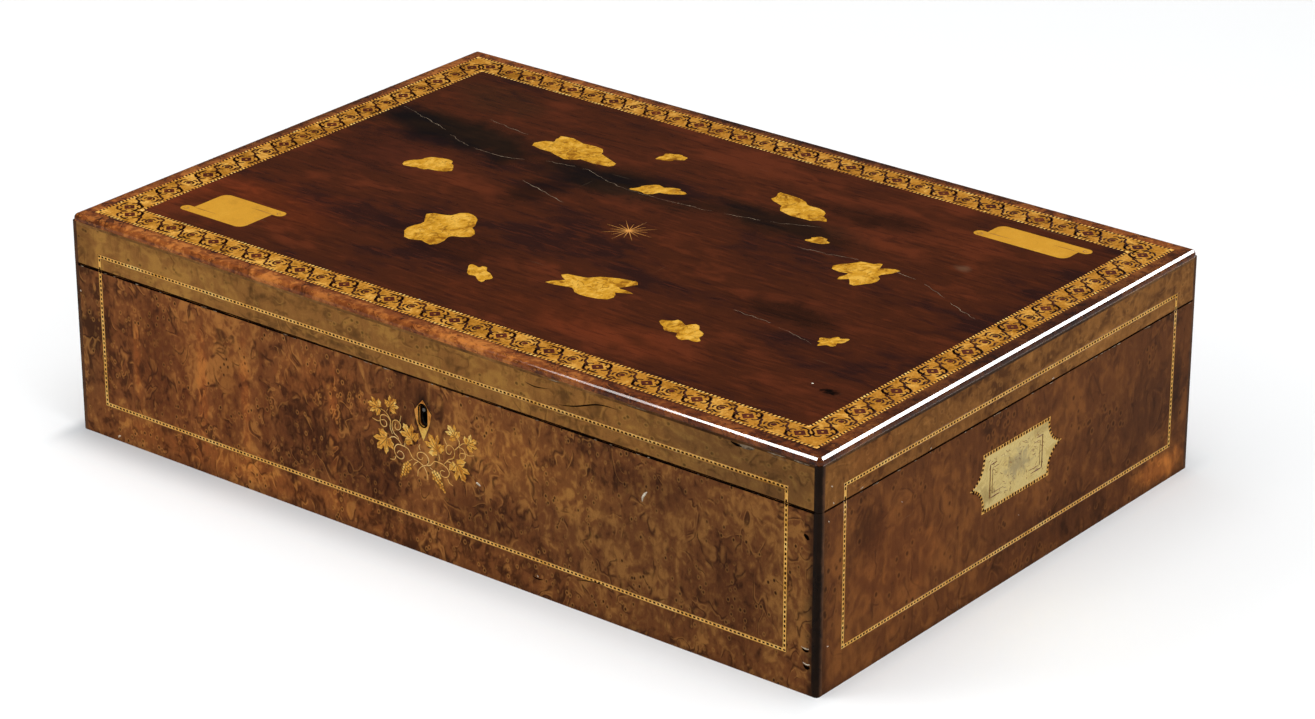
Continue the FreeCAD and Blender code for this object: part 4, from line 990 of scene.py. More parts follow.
class NodeShop:
    """The trees of geometry nodes: laid lines, rows along runs, and pieces on places."""

    def __init__(self) -> None:
        """Builds each tree once."""
        self.line, self.row, self.scatter = self._line(), self._row(), self._scatter()

    @staticmethod
    def _start(name: str, **extra: str) -> NodeBench:
        """A geometry tree with its own inputs and those that all of them have."""
        inputs = {SHAPE: "Geometry", **extra, VECTOR: "Turn Place", FINISH: "Finish"}
        return NodeBench.group(name, "Geometry", inputs, {SHAPE: "Geometry"})

    @staticmethod
    def _finish(bench: NodeBench, geometry: Term) -> Tree:
        """Stands the drawing on its face, realizes it and sets its material.

        Args:
            bench: the bench of the tree.
            geometry: the drawing.

        Returns:
            The tree.
        """
        given = bench.given
        stood = bench.out("Transform", {"Geometry": geometry, "Translation": given.place,
            "Rotation": given.turn})
        real = bench.out("RealizeInstances", {"Geometry": stood})
        bench.give("Geometry", bench.out("SetMaterial", {"Geometry": real,
            "Material": given.finish}))
        return bench.tree

    def _line(self) -> Tree:
        """A flat line of its own width, smoothed along its points and let into the face.

        Returns:
            The tree.
        """
        bench = self._start("laid_line", **{NUMBER: "Step Depth Sink"})
        given = bench.given
        curve = bench.out("MeshToCurve", {"Mesh": given.geometry})
        smooth = bench.out("CurveSplineType", {"Curve": curve}, spline_type="CATMULL_ROM")
        even = bench.out("ResampleCurve", {"Curve": smooth, "Length": given.step}, mode="LENGTH")
        upright = bench.out("SetCurveNormal", {"Curve": even}, mode="Z_UP")
        breadth = bench.out("InputNamedAttribute", {"Name": "breadth"}, "Attribute",
            data_type="FLOAT")
        profile = bench.out("CurvePrimitiveLine",
            {"Start": (-0.5, 0.0, 0.0), "End": (0.5, 0.0, 0.0)})
        strip = bench.out("CurveToMesh", {"Curve": upright, "Profile Curve": profile,
            "Scale": breadth})
        drop = bench.out("ShaderNodeCombineXYZ", {2: given.sink})
        low = bench.out("Transform", {"Geometry": strip, "Translation": drop})
        lift = bench.out("ShaderNodeCombineXYZ", {2: given.depth})
        raised = bench.out("ExtrudeMesh", {"Mesh": low, "Offset": lift, "Individual": False})
        both = bench.put("JoinGeometry")
        for half in (raised, bench.out("FlipFaces", {"Mesh": low})):
            bench.tree.links.new(half.socket, both.inputs[0])
        closed = bench.out("MergeByDistance", {"Geometry": Term(bench, both.outputs[0]),
            "Distance": 1e-6})
        return self._finish(bench, closed)

    def _row(self) -> Tree:
        """One piece repeated at an even pitch along every run, turned with it.

        Returns:
            The tree.
        """
        bench = self._start("row_of_pieces", **{NUMBER: "Pitch Unlike", HELPER: "Piece",
            WHOLE: "Seed"})
        curve = bench.out("MeshToCurve", {"Mesh": bench.given.geometry})
        even = bench.out("ResampleCurve", {"Curve": curve, "Length": bench.given.pitch},
            mode="LENGTH")
        along = bench.out("InputTangent")
        turn = bench.out("FunctionNodeAlignRotationToVector", {"Vector": along}, axis="X",
            pivot_axis="Z")
        return self._instances(bench, even, turn)

    def _scatter(self) -> Tree:
        """One piece on each given place."""
        bench = self._start("pieces_on_places", **{NUMBER: "Unlike", HELPER: "Piece",
            WHOLE: "Seed"})
        return self._instances(bench, bench.out("MeshToPoints", {"Mesh": bench.given.geometry}),
            (0.0, 0.0, 0.0))

    def _instances(self, bench: NodeBench, spots: Term, turn: Any) -> Tree:
        """Sets the piece on the points, each a little unlike the next in its plan size.

        Args:
            bench: the bench of the tree.
            spots: the points.
            turn: the turn on each of them.

        Returns:
            The tree.
        """
        given = bench.given
        source = bench.out("ObjectInfo", {"Object": given.piece, "As Instance": True}, "Geometry")
        limits = {2: 1.0 - given.unlike, 3: given.unlike + 1.0, "Seed": given.seed}
        size = bench.out("FunctionNodeRandomValue", limits, 1, data_type="FLOAT")
        plan = bench.out("ShaderNodeCombineXYZ", {0: size, 1: size, 2: 1.0})
        laid = {"Points": spots, "Instance": source, "Rotation": turn, "Scale": plan}
        return self._finish(bench, bench.out("InstanceOnPoints", laid))


@dataclass
class Workshop:
    """What every maker needs: the finishes and the trees."""

    shelf: FinishShelf
    shop: NodeShop

    def settle(self, helper: Piece, tree: Tree, name: str, side: Side, finish: str, values: dict,
            place: Point3 | None = None) -> Piece:
        """Runs a tree of geometry nodes on a helper and keeps the plain mesh.

        Args:
            helper: object that carries the drawing; it is removed.
            tree: the tree.
            name: name of the piece.
            side: the face.
            finish: name of the finish.
            values: input name to value of the tree's own inputs.
            place: the drawing's origin, in millimetres, where it isn't the side's own.

        Returns:
            The new piece.
        """
        values |= {"Turn": side.turn, "Place": tuple(c * MM for c in place or side.place),
            "Finish": self.shelf.get(finish)}
        modifier = helper.modifiers.new("tree", "NODES")
        modifier.node_group = tree
        for item in tree.interface.items_tree:
            if item.item_type == "SOCKET" and item.in_out == "INPUT" and item.name in values:
                modifier[item.identifier] = values[item.name]
        bpy.context.view_layer.update()
        seen = helper.evaluated_get(bpy.context.evaluated_depsgraph_get())
        mesh = bpy.data.meshes.new_from_object(seen)
        bpy.data.objects.remove(helper)
        mesh.name = name
        return tidy_normals(add_piece(name, mesh, values["Finish"]))

    def lay_lines(self, name: str, strokes: Sequence[Stroke], side: Side, finish: str,
            step: float = 0.8, top: float = PROUD, place: Point3 | None = None) -> Piece:
        """Lays drawn lines on a face.

        Args:
            name: name of the piece.
            strokes: the drawing, in millimetres.
            side: the face.
            finish: name of the finish.
            step: spacing along the line, in millimetres.
            top: how far it stands above the face, in millimetres.
            place: the drawing's origin, in millimetres, where it isn't the side's own.

        Returns:
            The piece.
        """
        helper = draw_runs(name + "_drawing", [stroke.points for stroke in strokes])
        widths = [stroke.breadth(i) * MM for stroke in strokes for i in range(len(stroke.points))]
        helper.data.attributes.new("breadth", "FLOAT", "POINT").data.foreach_set("value", widths)
        values = {"Step": step * MM, "Depth": LET_IN * MM, "Sink": (top - LET_IN) * MM}
        return self.settle(helper, self.shop.line, name, side, finish, values, place)

    def lay_row(self, name: str, runs: Sequence[Sequence[Point2]], pitch: float, piece: Piece,
            side: Side, finish: str, unlike: float = 0.1, place: Point3 | None = None) -> Piece:
        """Lays a piece at an even pitch along runs of a face.

        Args:
            name: name of the result.
            runs: the points of each run, in millimetres.
            pitch: spacing, in millimetres.
            piece: what is repeated; it stays and is removed by the caller.
            side: the face.
            finish: name of the finish.
            unlike: how much the plan sizes differ.
            place: the drawing's origin, in millimetres, where it isn't the side's own.

        Returns:
            The result.
        """
        ease = 0.9999
        values = {"Pitch": pitch * MM * ease, "Piece": piece, "Unlike": unlike, "Seed": 3}
        return self.settle(draw_runs(name + "_runs", runs), self.shop.row, name, side, finish,
            values, place)

    def lay_on(self, name: str, places: Sequence[Point2], piece: Piece, side: Side, finish: str,
            unlike: float) -> Piece:
        """Lays a piece on each given place of a face.

        Args:
            name: name of the result.
            places: the places, in millimetres.
            piece: what is repeated; it stays and is removed by the caller.
            side: the face.
            finish: name of the finish.
            unlike: how much the plan sizes differ.

        Returns:
            The result.
        """
        helper = draw_runs(name + "_places", [(place,) for place in places])
        values = {"Piece": piece, "Unlike": unlike, "Seed": 5}
        return self.settle(helper, self.shop.scatter, name, side, finish, values)

    def press(self, node: str, name: str, axis: int, outward: int, finish: str, body: Body,
            slot: Slot) -> None:
        """Puts a copy in an inlay's place whose show face lies a hair lower, below laid lines.

        Args:
            node: the inlay's node.
            name: name of the copy.
            axis: axis across the show face.
            outward: 1 or -1, the way it faces, or 0 for an inlay of both ends.
            finish: name of its finish.
            body: what it moves with.
            slot: not used.
        """
        lower, level_gap = 0.022, 0.01
        low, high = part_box(node)
        faces = [(level, way) for level, way in ((high[axis], 1), (low[axis], -1))
            if outward in (0, way)]
        mesh = frame["nodes"][node].data.copy()
        mesh.name = name
        for point in mesh.vertices:
            for face, way in faces:
                if abs(point.co[axis] - face) < level_gap * MM:
                    point.co[axis] -= way * lower * MM
        install(tidy_normals(add_piece(name, mesh, self.shelf.get(finish))), body, node)


# ---------------------------------------------------------------- studio


@dataclass(frozen=True)
class Lamp:
    """A rectangular lamp aimed at a place; without lights it shows in polish alone."""

    name: str
    where: Point3
    aim: Point3
    size: Point2
    power: float
    lights: bool

    def hang(self) -> None:
        """Puts it into the scene."""
        data = bpy.data.lights.new(self.name, "AREA")
        data.shape = "RECTANGLE"
        data.size, data.size_y = self.size
        data.energy = self.power
        lamp = bpy.data.objects.new(self.name, data)
        lamp.location = self.where
        away = Vector(self.aim) - Vector(self.where)
        lamp.rotation_euler = away.to_track_quat("-Z", "Y").to_euler()
        lamp.visible_camera = False
        lamp.visible_diffuse, lamp.visible_glossy = self.lights, not self.lights
        bpy.context.scene.collection.objects.link(lamp)


@dataclass
class Studio:
    """Pale floor, soft lights and the camera."""

    level: float = 0.62
    gloss_level: float = 0.07
    floor_reach: float = 9.0
    floor_tone: Colour = (0.895, 0.905, 0.912, 1.0)
    floor_cast: Colour = (0.34, 0.33, 0.32, 1.0)
    floor_glow: float = 0.115
    floor_fade: Point2 = (0.9, 2.0)
    shade_reach: float = 0.055
    shade_tone: Colour = (0.55, 0.565, 0.58, 1.0)
    lens: float = 115.226
    eye: Point3 = (1.56181, -1.93253, 1.15951)
    look: Point3 = (90 - 23.8247, 0.01, 38.5207)

    LAMPS = (
        Lamp("overhead_soft", (0.1, -0.3, 2.6), (0, 0, 0.1), (2.4, 2.4), 24.0, True),
        Lamp("front_left_soft", (-1.9, -2.0, 1.6), (0, 0, 0.08), (1.4, 1.4), 26.0, True),
        Lamp("right_soft", (2.3, -0.5, 1.3), (0, 0, 0.08), (1.2, 1.2), 16.0, True),
        Lamp("back_right_card", (1.15, 1.35, 1.2), (0.3, 0.0, 0.15), (2.0, 1.3), 260.0, False),
        Lamp("front_left_card", (-0.71, -1.02, 1.41), (-0.71, -0.2, 0.15), (0.28, 1.87), 58.0,
            False),
        Lamp("front_left_fade", (-0.93, -1.02, 1.41), (-0.93, -0.2, 0.15), (0.16, 1.4), 7.0, False),
    )

    def build(self) -> None:
        """Sets up the world, the floor, the lamps and the camera."""
        bpy.context.scene.view_settings.view_transform = "Standard"
        self._world()
        self._floor()
        for lamp in self.LAMPS:
            lamp.hang()
        self._camera()

    def _world(self) -> None:
        """White to the camera, plain grey light otherwise."""
        world = bpy.data.worlds.new("studio")
        world.use_nodes = True
        world.node_tree.nodes.clear()
        bench = NodeBench(world.node_tree)
        soft, gloss, white = (bench.out("Background", {"Color": WHITE, "Strength": level})
            for level in (self.level, self.gloss_level, 1.0))
        path = bench.put("LightPath").outputs
        camera, shiny, clear = (Term(bench, path[f"Is {kind} Ray"])
            for kind in ("Camera", "Glossy", "Transmission"))
        seen = bench.out("MixShader", {0: shiny.most(clear), 1: soft, 2: gloss})
        bench.put("OutputWorld", {"Surface": bench.out("MixShader", {0: camera, 1: seen,
            2: white})})
        bpy.context.scene.world = world

    def _floor(self) -> None:
        """A wide pale floor that keeps the shadow and fades to white far from the box."""
        reach = self.floor_reach
        floor = mesh_object("floor", [(-reach, -reach, 0), (reach, -reach, 0), (reach, reach, 0),
            (-reach, reach, 0)], faces=[(0, 1, 2, 3)])
        bench = FinishBench("pale_floor")
        shade = self._contact_shade(bench)
        pale = bench.out("BsdfDiffuse", {"Color": bench.blend(shade, self.floor_tone,
            self.shade_tone)})
        glow = bench.out("Emission", {"Color": bench.blend(shade, WHITE, self.shade_tone),
            "Strength": self.floor_glow})
        near = bench.out("AddShader", {0: pale, 1: glow})
        far = bench.out("Emission", {"Color": WHITE, "Strength": 1.0})
        away = bench.vector("LENGTH", bench.place, key=1).ramp(*self.floor_fade)
        seen = bench.out("MixShader", {0: away, 1: near, 2: far})
        grey = bench.out("BsdfDiffuse", {"Color": self.floor_cast})
        camera = bench.out("LightPath", key="Is Camera Ray")
        floor.data.materials.append(bench.show(bench.out("MixShader", {0: camera, 1: grey,
            2: seen})))

    def _contact_shade(self, bench: FinishBench) -> Term:
        """How much the box shades the floor: most at its foot, and more towards its left end.

        Args:
            bench: the bench of the floor.

        Returns:
            The share of shade.
        """
        x, y, _ = bench.outs("SeparateXYZ", {0: bench.place})
        beside = (abs(x) - SIZES.half_length * MM).most(0.0) * 2.5
        before = (abs(y) - SIZES.half_depth * MM).most(0.0)
        away = bench.math("SQRT", beside * beside + before * before)
        near = bench.math("POWER", away.fall(0.0, self.shade_reach), 2.5)
        return near * x.ramp(-0.30, 0.20, 1.0, 0.30)

    def _camera(self) -> None:
        """A long lens from above the near corner."""
        data = bpy.data.cameras.new("camera")
        data.sensor_width, data.lens = 36.0, self.lens
        camera = bpy.data.objects.new("camera", data)
        camera.location = self.eye
        camera.rotation_euler = tuple(math.radians(angle) for angle in self.look)
        bpy.context.scene.collection.objects.link(camera)
        bpy.context.scene.camera = camera


# ---------------------------------------------------------------- dressing


@dataclass
class NodeDresser:
    """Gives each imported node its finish."""

    workshop: Workshop

    NODES = {
        "front_burr": "case_front_veneer",
        "lid_burr": "lid_front_veneer",
        "end_burr": "case_left_veneer case_right_veneer",
        "lid_end_burr": "lid_left_veneer lid_right_veneer",
        "field": "lid_top_veneer",
        "moulding": "lid_edge_moulding",
        "carcase": "case_front_board case_back_board case_bottom_board lid_front_rail "
            "lid_back_rail lid_panel",
        "upright_carcase": "case_left_board case_right_board lid_left_rail lid_right_rail",
        "edging": "case_corner_edgings lid_corner_edgings",
        "edge_line": "lid_edge_line",
        "border_gold": "lid_border_bands",
        "leaf_gold": "lid_border_stringings",
        "tan": "compass_star",
        "hinge": "left_hinge_lower_leaf right_hinge_lower_leaf left_hinge_upper_leaf "
            "right_hinge_upper_leaf left_hinge_pin right_hinge_pin hinge_lower_screws "
            "hinge_upper_screws lock_faceplate lock_link_plate link_plate_screws",
        "steel": "lock_case lock_cover_plate lock_drill_pin lock_spring lock_screws lock_bolt "
            "bottom_screws",
    }

    def build(self) -> None:
        """Puts the finishes on the nodes' slots."""
        for finish, names in self.NODES.items():
            for name in names.split():
                for slot in frame["nodes"][name].material_slots:
                    slot.material = self.workshop.shelf.get(finish)
            log.info("%s: %s", finish, names)


@dataclass
class Stringings:
    """The chequered lines of the sides: two light lines with dark squares between them."""

    workshop: Workshop
    pitch: float = 3.0
    square: Point2 = (1.7, 1.2)
    edge_gap: float = 1.32
    edge_width: float = 0.36
    end_gap: float = 1.2
    corner_gaps: Point2 = (3.0, 2.6)
    joint_inset: float = 4.0
    joint_step: Point2 = (20.0, 60.0)
    thin_middle: float = -60.0
    thin_reach: float = 130.0
    chips: int = 34

    def build(self) -> None:
        """Lays the lines and squares of the case and the lid."""
        x, y = self.square[0] / 2, self.square[1] / 2
        tab = small_plate([(-x, -y), (x, -y), (x, y), (-x, y)])
        middle = SIZES.stringing_width / 2
        low, top = SIZES.stringing_inset + middle, SIZES.stringing_top - middle
        case_ends = (low + self.corner_gaps[0], SIZES.rim - self.end_gap)
        lid_ends = (top - self.corner_gaps[1], SIZES.lid_base + self.end_gap)
        for side, axis, outward in ((Side.FRONT, 1, -1), (Side.LEFT, 0, -1), (Side.RIGHT, 0, 1)):
            reach = side.half - low
            for body, level, (near, far) in ((Body.CASE, low, case_ends),
                    (Body.LID, top, lid_ends)):
                runs = [((-reach, far), (-reach, near)), ((-reach, level), (reach, level)),
                    ((reach, near), (reach, far))]
                label = f"{body.value}_{side.name.lower()}_stringing"
                self.workshop.press(label, label + "_lines", axis, outward, "light", body,
                    Slot.LIGHT)
                squares = self.workshop.lay_row(label + "_squares", runs, self.pitch, tab, side,
                    "dark_dot")
                install(squares, body)
                edges = self._edge_lines(body, reach, level)
                install(self.workshop.lay_lines(label + "_edges", edges, side, "vein", 40.0, 0.037),
                    body)
            self._joint_line(side, side.half - self.joint_inset)
        bpy.data.objects.remove(tab)

    def _joint_line(self, side: Side, reach: float) -> None:
        """A dark line along the joint of the lid, on the rim of the case and under the lid: painted
        shade of the gap between them, and grime; on the front it is thin about one place and
        heavier towards both ends.

        Args:
            side: the side.
            reach: half its length, in millimetres.
        """
        maker, clean = random.Random(side.name), self.thin_middle
        for body in Body:
            strokes, across = [], -reach
            while across < reach:
                end = min(reach, across + maker.uniform(*self.joint_step))
                heavy = 0.3
                if side is Side.FRONT:
                    heavy = min(1.0, abs(across - clean) / self.thin_reach)
                if across < clean:
                    heavy *= 1.4
                if body is Body.CASE:
                    width = maker.uniform(0.3, 0.45) + 0.65 * heavy
                    height = SIZES.rim + 0.02 - width / 2
                else:
                    width = 0.3 + 0.3 * heavy
                    height = SIZES.lid_base - 0.03 + width / 2
                strokes.append(Stroke(((across, height), ((across + end) / 2, height),
                    (end, height)), width, 0.9))
                across = end
            label = f"{body.value}_{side.name.lower()}_joint"
            install(self.workshop.lay_lines(label + "_dirt", strokes, side, "dirt", 6.0, 0.03),
                body)
            if body is Body.CASE:
                chips = [self._chip(maker, reach) for _ in range(self.chips)]
                install(self.workshop.lay_lines(label + "_chips", chips, side, "crack", 0.6, 0.04),
                    body)

    @staticmethod
    def _chip(maker: random.Random, reach: float) -> Stroke:
        """A small chip below the rim of the case.

        Args:
            maker: the random numbers.
            reach: half the length of the side, in millimetres.

        Returns:
            The chip.
        """
        across = maker.uniform(-reach, reach)
        length, height = maker.uniform(0.8, 4.0), SIZES.rim - maker.uniform(0.55, 1.0)
        course = ((across, height), (across + length / 2, height - 0.1), (across + length, height))
        return Stroke(course, maker.uniform(0.3, 0.7), 0.3)

    def _edge_lines(self, body: Body, reach: float, level: float) -> list[Stroke]:
        """Thin brown lines along both edges of a stringing, one stroke for each straight.

        Args:
            body: the case or the lid.
            reach: half the length of its level run, in millimetres.
            level: height of that run.

        Returns:
            The lines.
        """
        rise, inward = (SIZES.rim, 1) if body is Body.CASE else (SIZES.lid_base, -1)
        strokes = []
        for gap in (-self.edge_gap, self.edge_gap):
            corner, far = level - gap * inward, reach + gap
            strokes.append(Stroke(((-far, corner), (far, corner)), self.edge_width))
            strokes += [Stroke(((x, corner), (x, rise)), self.edge_width) for x in (-far, far)]
        return strokes


@dataclass
class Border:
    """The inlaid border of the lid: flowers, small roses and scrolls between dotted lines, drawn
    from both corners of each side to a splice in its middle."""

    workshop: Workshop
    long_flowers: tuple[float, float, int] = (7.9, 37.25, 8)
    short_flowers: tuple[float, float, int] = (23.7, 36.3, 5)
    dot_pitch: float = 2.9
    line_inset: float = 1.0
    petal_middle: Point2 = (4.9, 4.7)
    petal: Point2 = (2.5, 2.3)
    curl: float = 3.3
    heart: Point2 = (4.5, 0.74)
    rose_heart: float = 1.9
    eye: float = 0.8

    TURN_OVER = Matrix(((0, -1, 0, 0), (-1, 0, 0, 0), (0, 0, 1, 0), (0, 0, 0, 1)))

    def build(self) -> None:
        """Lays every part of the border."""
        self._dots()
        flowers, roses, scrolls = self._places()
        dark, red = ("dark_line", Slot.MOULDING), ("red_diamond", Slot.MOULDING)
        for label, drawn, places, (finish, slot) in (
                ("border_flower_outlines", self._flower_lines(), flowers, dark),
                ("border_flower_hearts", self._diamond(), flowers, red),
                ("border_flower_eyes", disc(self.eye), flowers, ("border_gold", Slot.GOLD)),
                ("border_rose_lines", self._rose_lines(), roses, dark),
                ("border_rose_hearts", disc(self.rose_heart), roses, red),
                ("border_scrolls", self._scroll_lines(), scrolls, dark)):
            made = []
            for number, spots in enumerate(places):
                if number:
                    drawn.data.transform(self.TURN_OVER)
                    drawn.data.flip_normals()
                made.append(self.workshop.lay_on(f"{label}_{number}", spots, drawn, Side.TOP,
                    finish, 0.03))
            install(join(made, label), Body.LID)
            bpy.data.objects.remove(drawn)

    def _places(self) -> tuple[list, list, list]:
        """Middles of the flowers, roses and scrolls: on the long sides, then on the short ones.

        Returns:
            The three lists.
        """
        x, y = ((outer + inner) / 2 for outer, inner in zip(SIZES.border_outer, SIZES.border_inner))
        kinds: tuple[list, list, list] = ([], [], [])
        for is_long, (first, pitch, count) in ((True, self.long_flowers),
                (False, self.short_flowers)):
            flowers = [first + pitch * step for step in range(count)]
            roses = [flower + pitch / 2 for flower in flowers[:-1]]
            if first > pitch / 2:
                roses.insert(0, first - pitch / 2)
            stops = sorted(flowers + roses)
            scrolls = [(low + high) / 2 for low, high in zip(stops, stops[1:])]
            for kind, stations in zip(kinds, (flowers, roses, scrolls)):
                both = [sign * station for station in stations for sign in (-1, 1)]
                kind.append([(along, sign * y) if is_long else (sign * x, along) for along in both
                    for sign in (-1, 1)])
        return kinds

    def _dots(self) -> None:
        """Dark ticks of the two dotted lines."""
        tick = small_plate(points("-0.95,-0.95 0.45,-0.95 0.95,0.95 -0.45,0.95"))
        runs, gap = [], self.dot_pitch
        for (x, y), inset in ((SIZES.border_outer, self.line_inset),
                (SIZES.border_inner, -self.line_inset)):
            x, y = x - inset, y - inset
            runs += [((-x + gap, -y), (x - gap, -y)), ((x, -y + gap), (x, y - gap)),
                ((x - gap, y), (-x + gap, y)), ((-x, y - gap), (-x, -y + gap))]
        dots = self.workshop.lay_row("border_ticks", runs, gap, tick, Side.TOP, "dark_dot")
        bpy.data.objects.remove(tick)
        install(dots, Body.LID)

    def _lines(self, name: str, strokes: Sequence[Stroke]) -> Piece:
        """Strokes as a flat helper for the rows."""
        return self.workshop.lay_lines(name, strokes, Side.TOP, "dark_line", 0.9, 0.04, FLAT)

    @staticmethod
    def _both(*lines: tuple) -> list[Stroke]:
        """Strokes from written lines, in two sets half a turn apart."""
        return [Stroke(tuple((sign * x, sign * y) for x, y in points(text)), *rest)
            for sign in (-1, 1) for text, *rest in lines]

    def _flower_lines(self) -> Piece:
        """Four petals round a flower and the brackets above and below it.

        Returns:
            The helper.
        """
        strokes = []
        for way in (math.pi / 2 * quarter for quarter in range(4)):
            x, y = ray(way, *self.petal_middle)
            turns = [ray(way + math.radians(-104 + 26 * step), *self.petal) for step in range(9)]
            strokes.append(Stroke(tuple((x + across, y + up) for across, up in turns), 1.45, 0.7))
        strokes += self._both(("-5.6,6.6 -2.6,7.2 0.6,6.9", 1.4, 0.6),
            ("6.2,1.4 7.4,3.4 5.8,5.6 3.4,7.2", 1.5, 0.7))
        return self._lines("flower_lines", strokes)

    def _rose_lines(self) -> Piece:
        """The curl of a small rose and its leaves.

        Returns:
            The helper.
        """
        curl = []
        for angle in range(50, 330, 28):
            x, y = ray(math.radians(angle), self.curl)
            curl.append((x * (1 - angle / 1500), y))
        leaves = self._both(("-3.2,5.2 -0.8,6.9 2.4,5.4 4.4,6.6", 1.4, 0.6),
            ("4.4,3.4 5.6,1.2 4.6,-0.6", 1.4, 0.7))
        return self._lines("rose_lines", [Stroke(tuple(curl), 1.5, 0.7), *leaves])

    def _scroll_lines(self) -> Piece:
        """One stepped scroll across the band."""
        course = ("-8.6,7.7 -5.2,7.5 -3.4,6.2 -3.0,4.2 -1.8,2.0 0.2,0.8 "
            "0.8,-1.6 2.4,-3.4 3.0,-6.0 4.8,-7.5 8.6,-7.7")
        return self._lines("scroll_lines", Stroke.row((course, 1.7, 0.8)))

    def _diamond(self) -> Piece:
        """A four-pointed heart whose sides go in to a share of its reach.

        Returns:
            The helper.
        """
        reach, share = self.heart
        reaches = (reach, reach * share) * 4
        heart = [ray(math.pi / 4 * step, far) for step, far in enumerate(reaches)]
        return small_plate(heart, 0.032)


@dataclass(frozen=True)
class Leaf:
    """One vine leaf: its middle, radius and the way its tip points."""

    middle: Point2
    radius: float
    tip: float

    HALF = points("""
        1.06,0.0 0.88,0.12 0.80,0.28 0.58,0.27 0.36,0.20 0.50,0.44 0.60,0.56 0.66,0.82 0.44,0.76
        0.26,0.76 0.10,0.56 0.00,0.36 -0.06,0.62 -0.18,0.76 -0.24,0.98 -0.42,0.80 -0.62,0.70
        -0.62,0.44 -0.72,0.22 -0.42,0.05""")
    VEINS = ("-0.42,0.0 0.1,0.02 0.84,0.0", "-0.40,0.0 0.02,0.26 0.50,0.56",
        "-0.42,0.02 -0.28,0.36 -0.14,0.76", "-0.40,0.0 0.02,-0.26 0.50,-0.56",
        "-0.42,-0.02 -0.28,-0.36 -0.14,-0.76")

    def at(self, share: Point2) -> Point2:
        """A place on the leaf, from shares of its radius along and across its tip."""
        cos, sin = ray(math.radians(self.tip))
        return (self.middle[0] + self.radius * (share[0] * cos - share[1] * sin), self.middle[1]
            + self.radius * (share[0] * sin + share[1] * cos))

    def plate(self, gold: Material) -> Piece:
        """The lobed leaf let into the veneer.

        Args:
            gold: its material.

        Returns:
            The plate.
        """
        mirrored = [(along, -across) for along, across in reversed(self.HALF[1:])]
        plate = small_plate([self.at(share) for share in (*self.HALF, *mirrored)], 0.03)
        plate.data.materials.append(gold)
        return plate

    def veins(self) -> list[Stroke]:
        """The engraved veins."""
        return [Stroke(tuple(self.at(share) for share in points(vein)), 0.5, 0.35)
            for vein in self.VEINS]


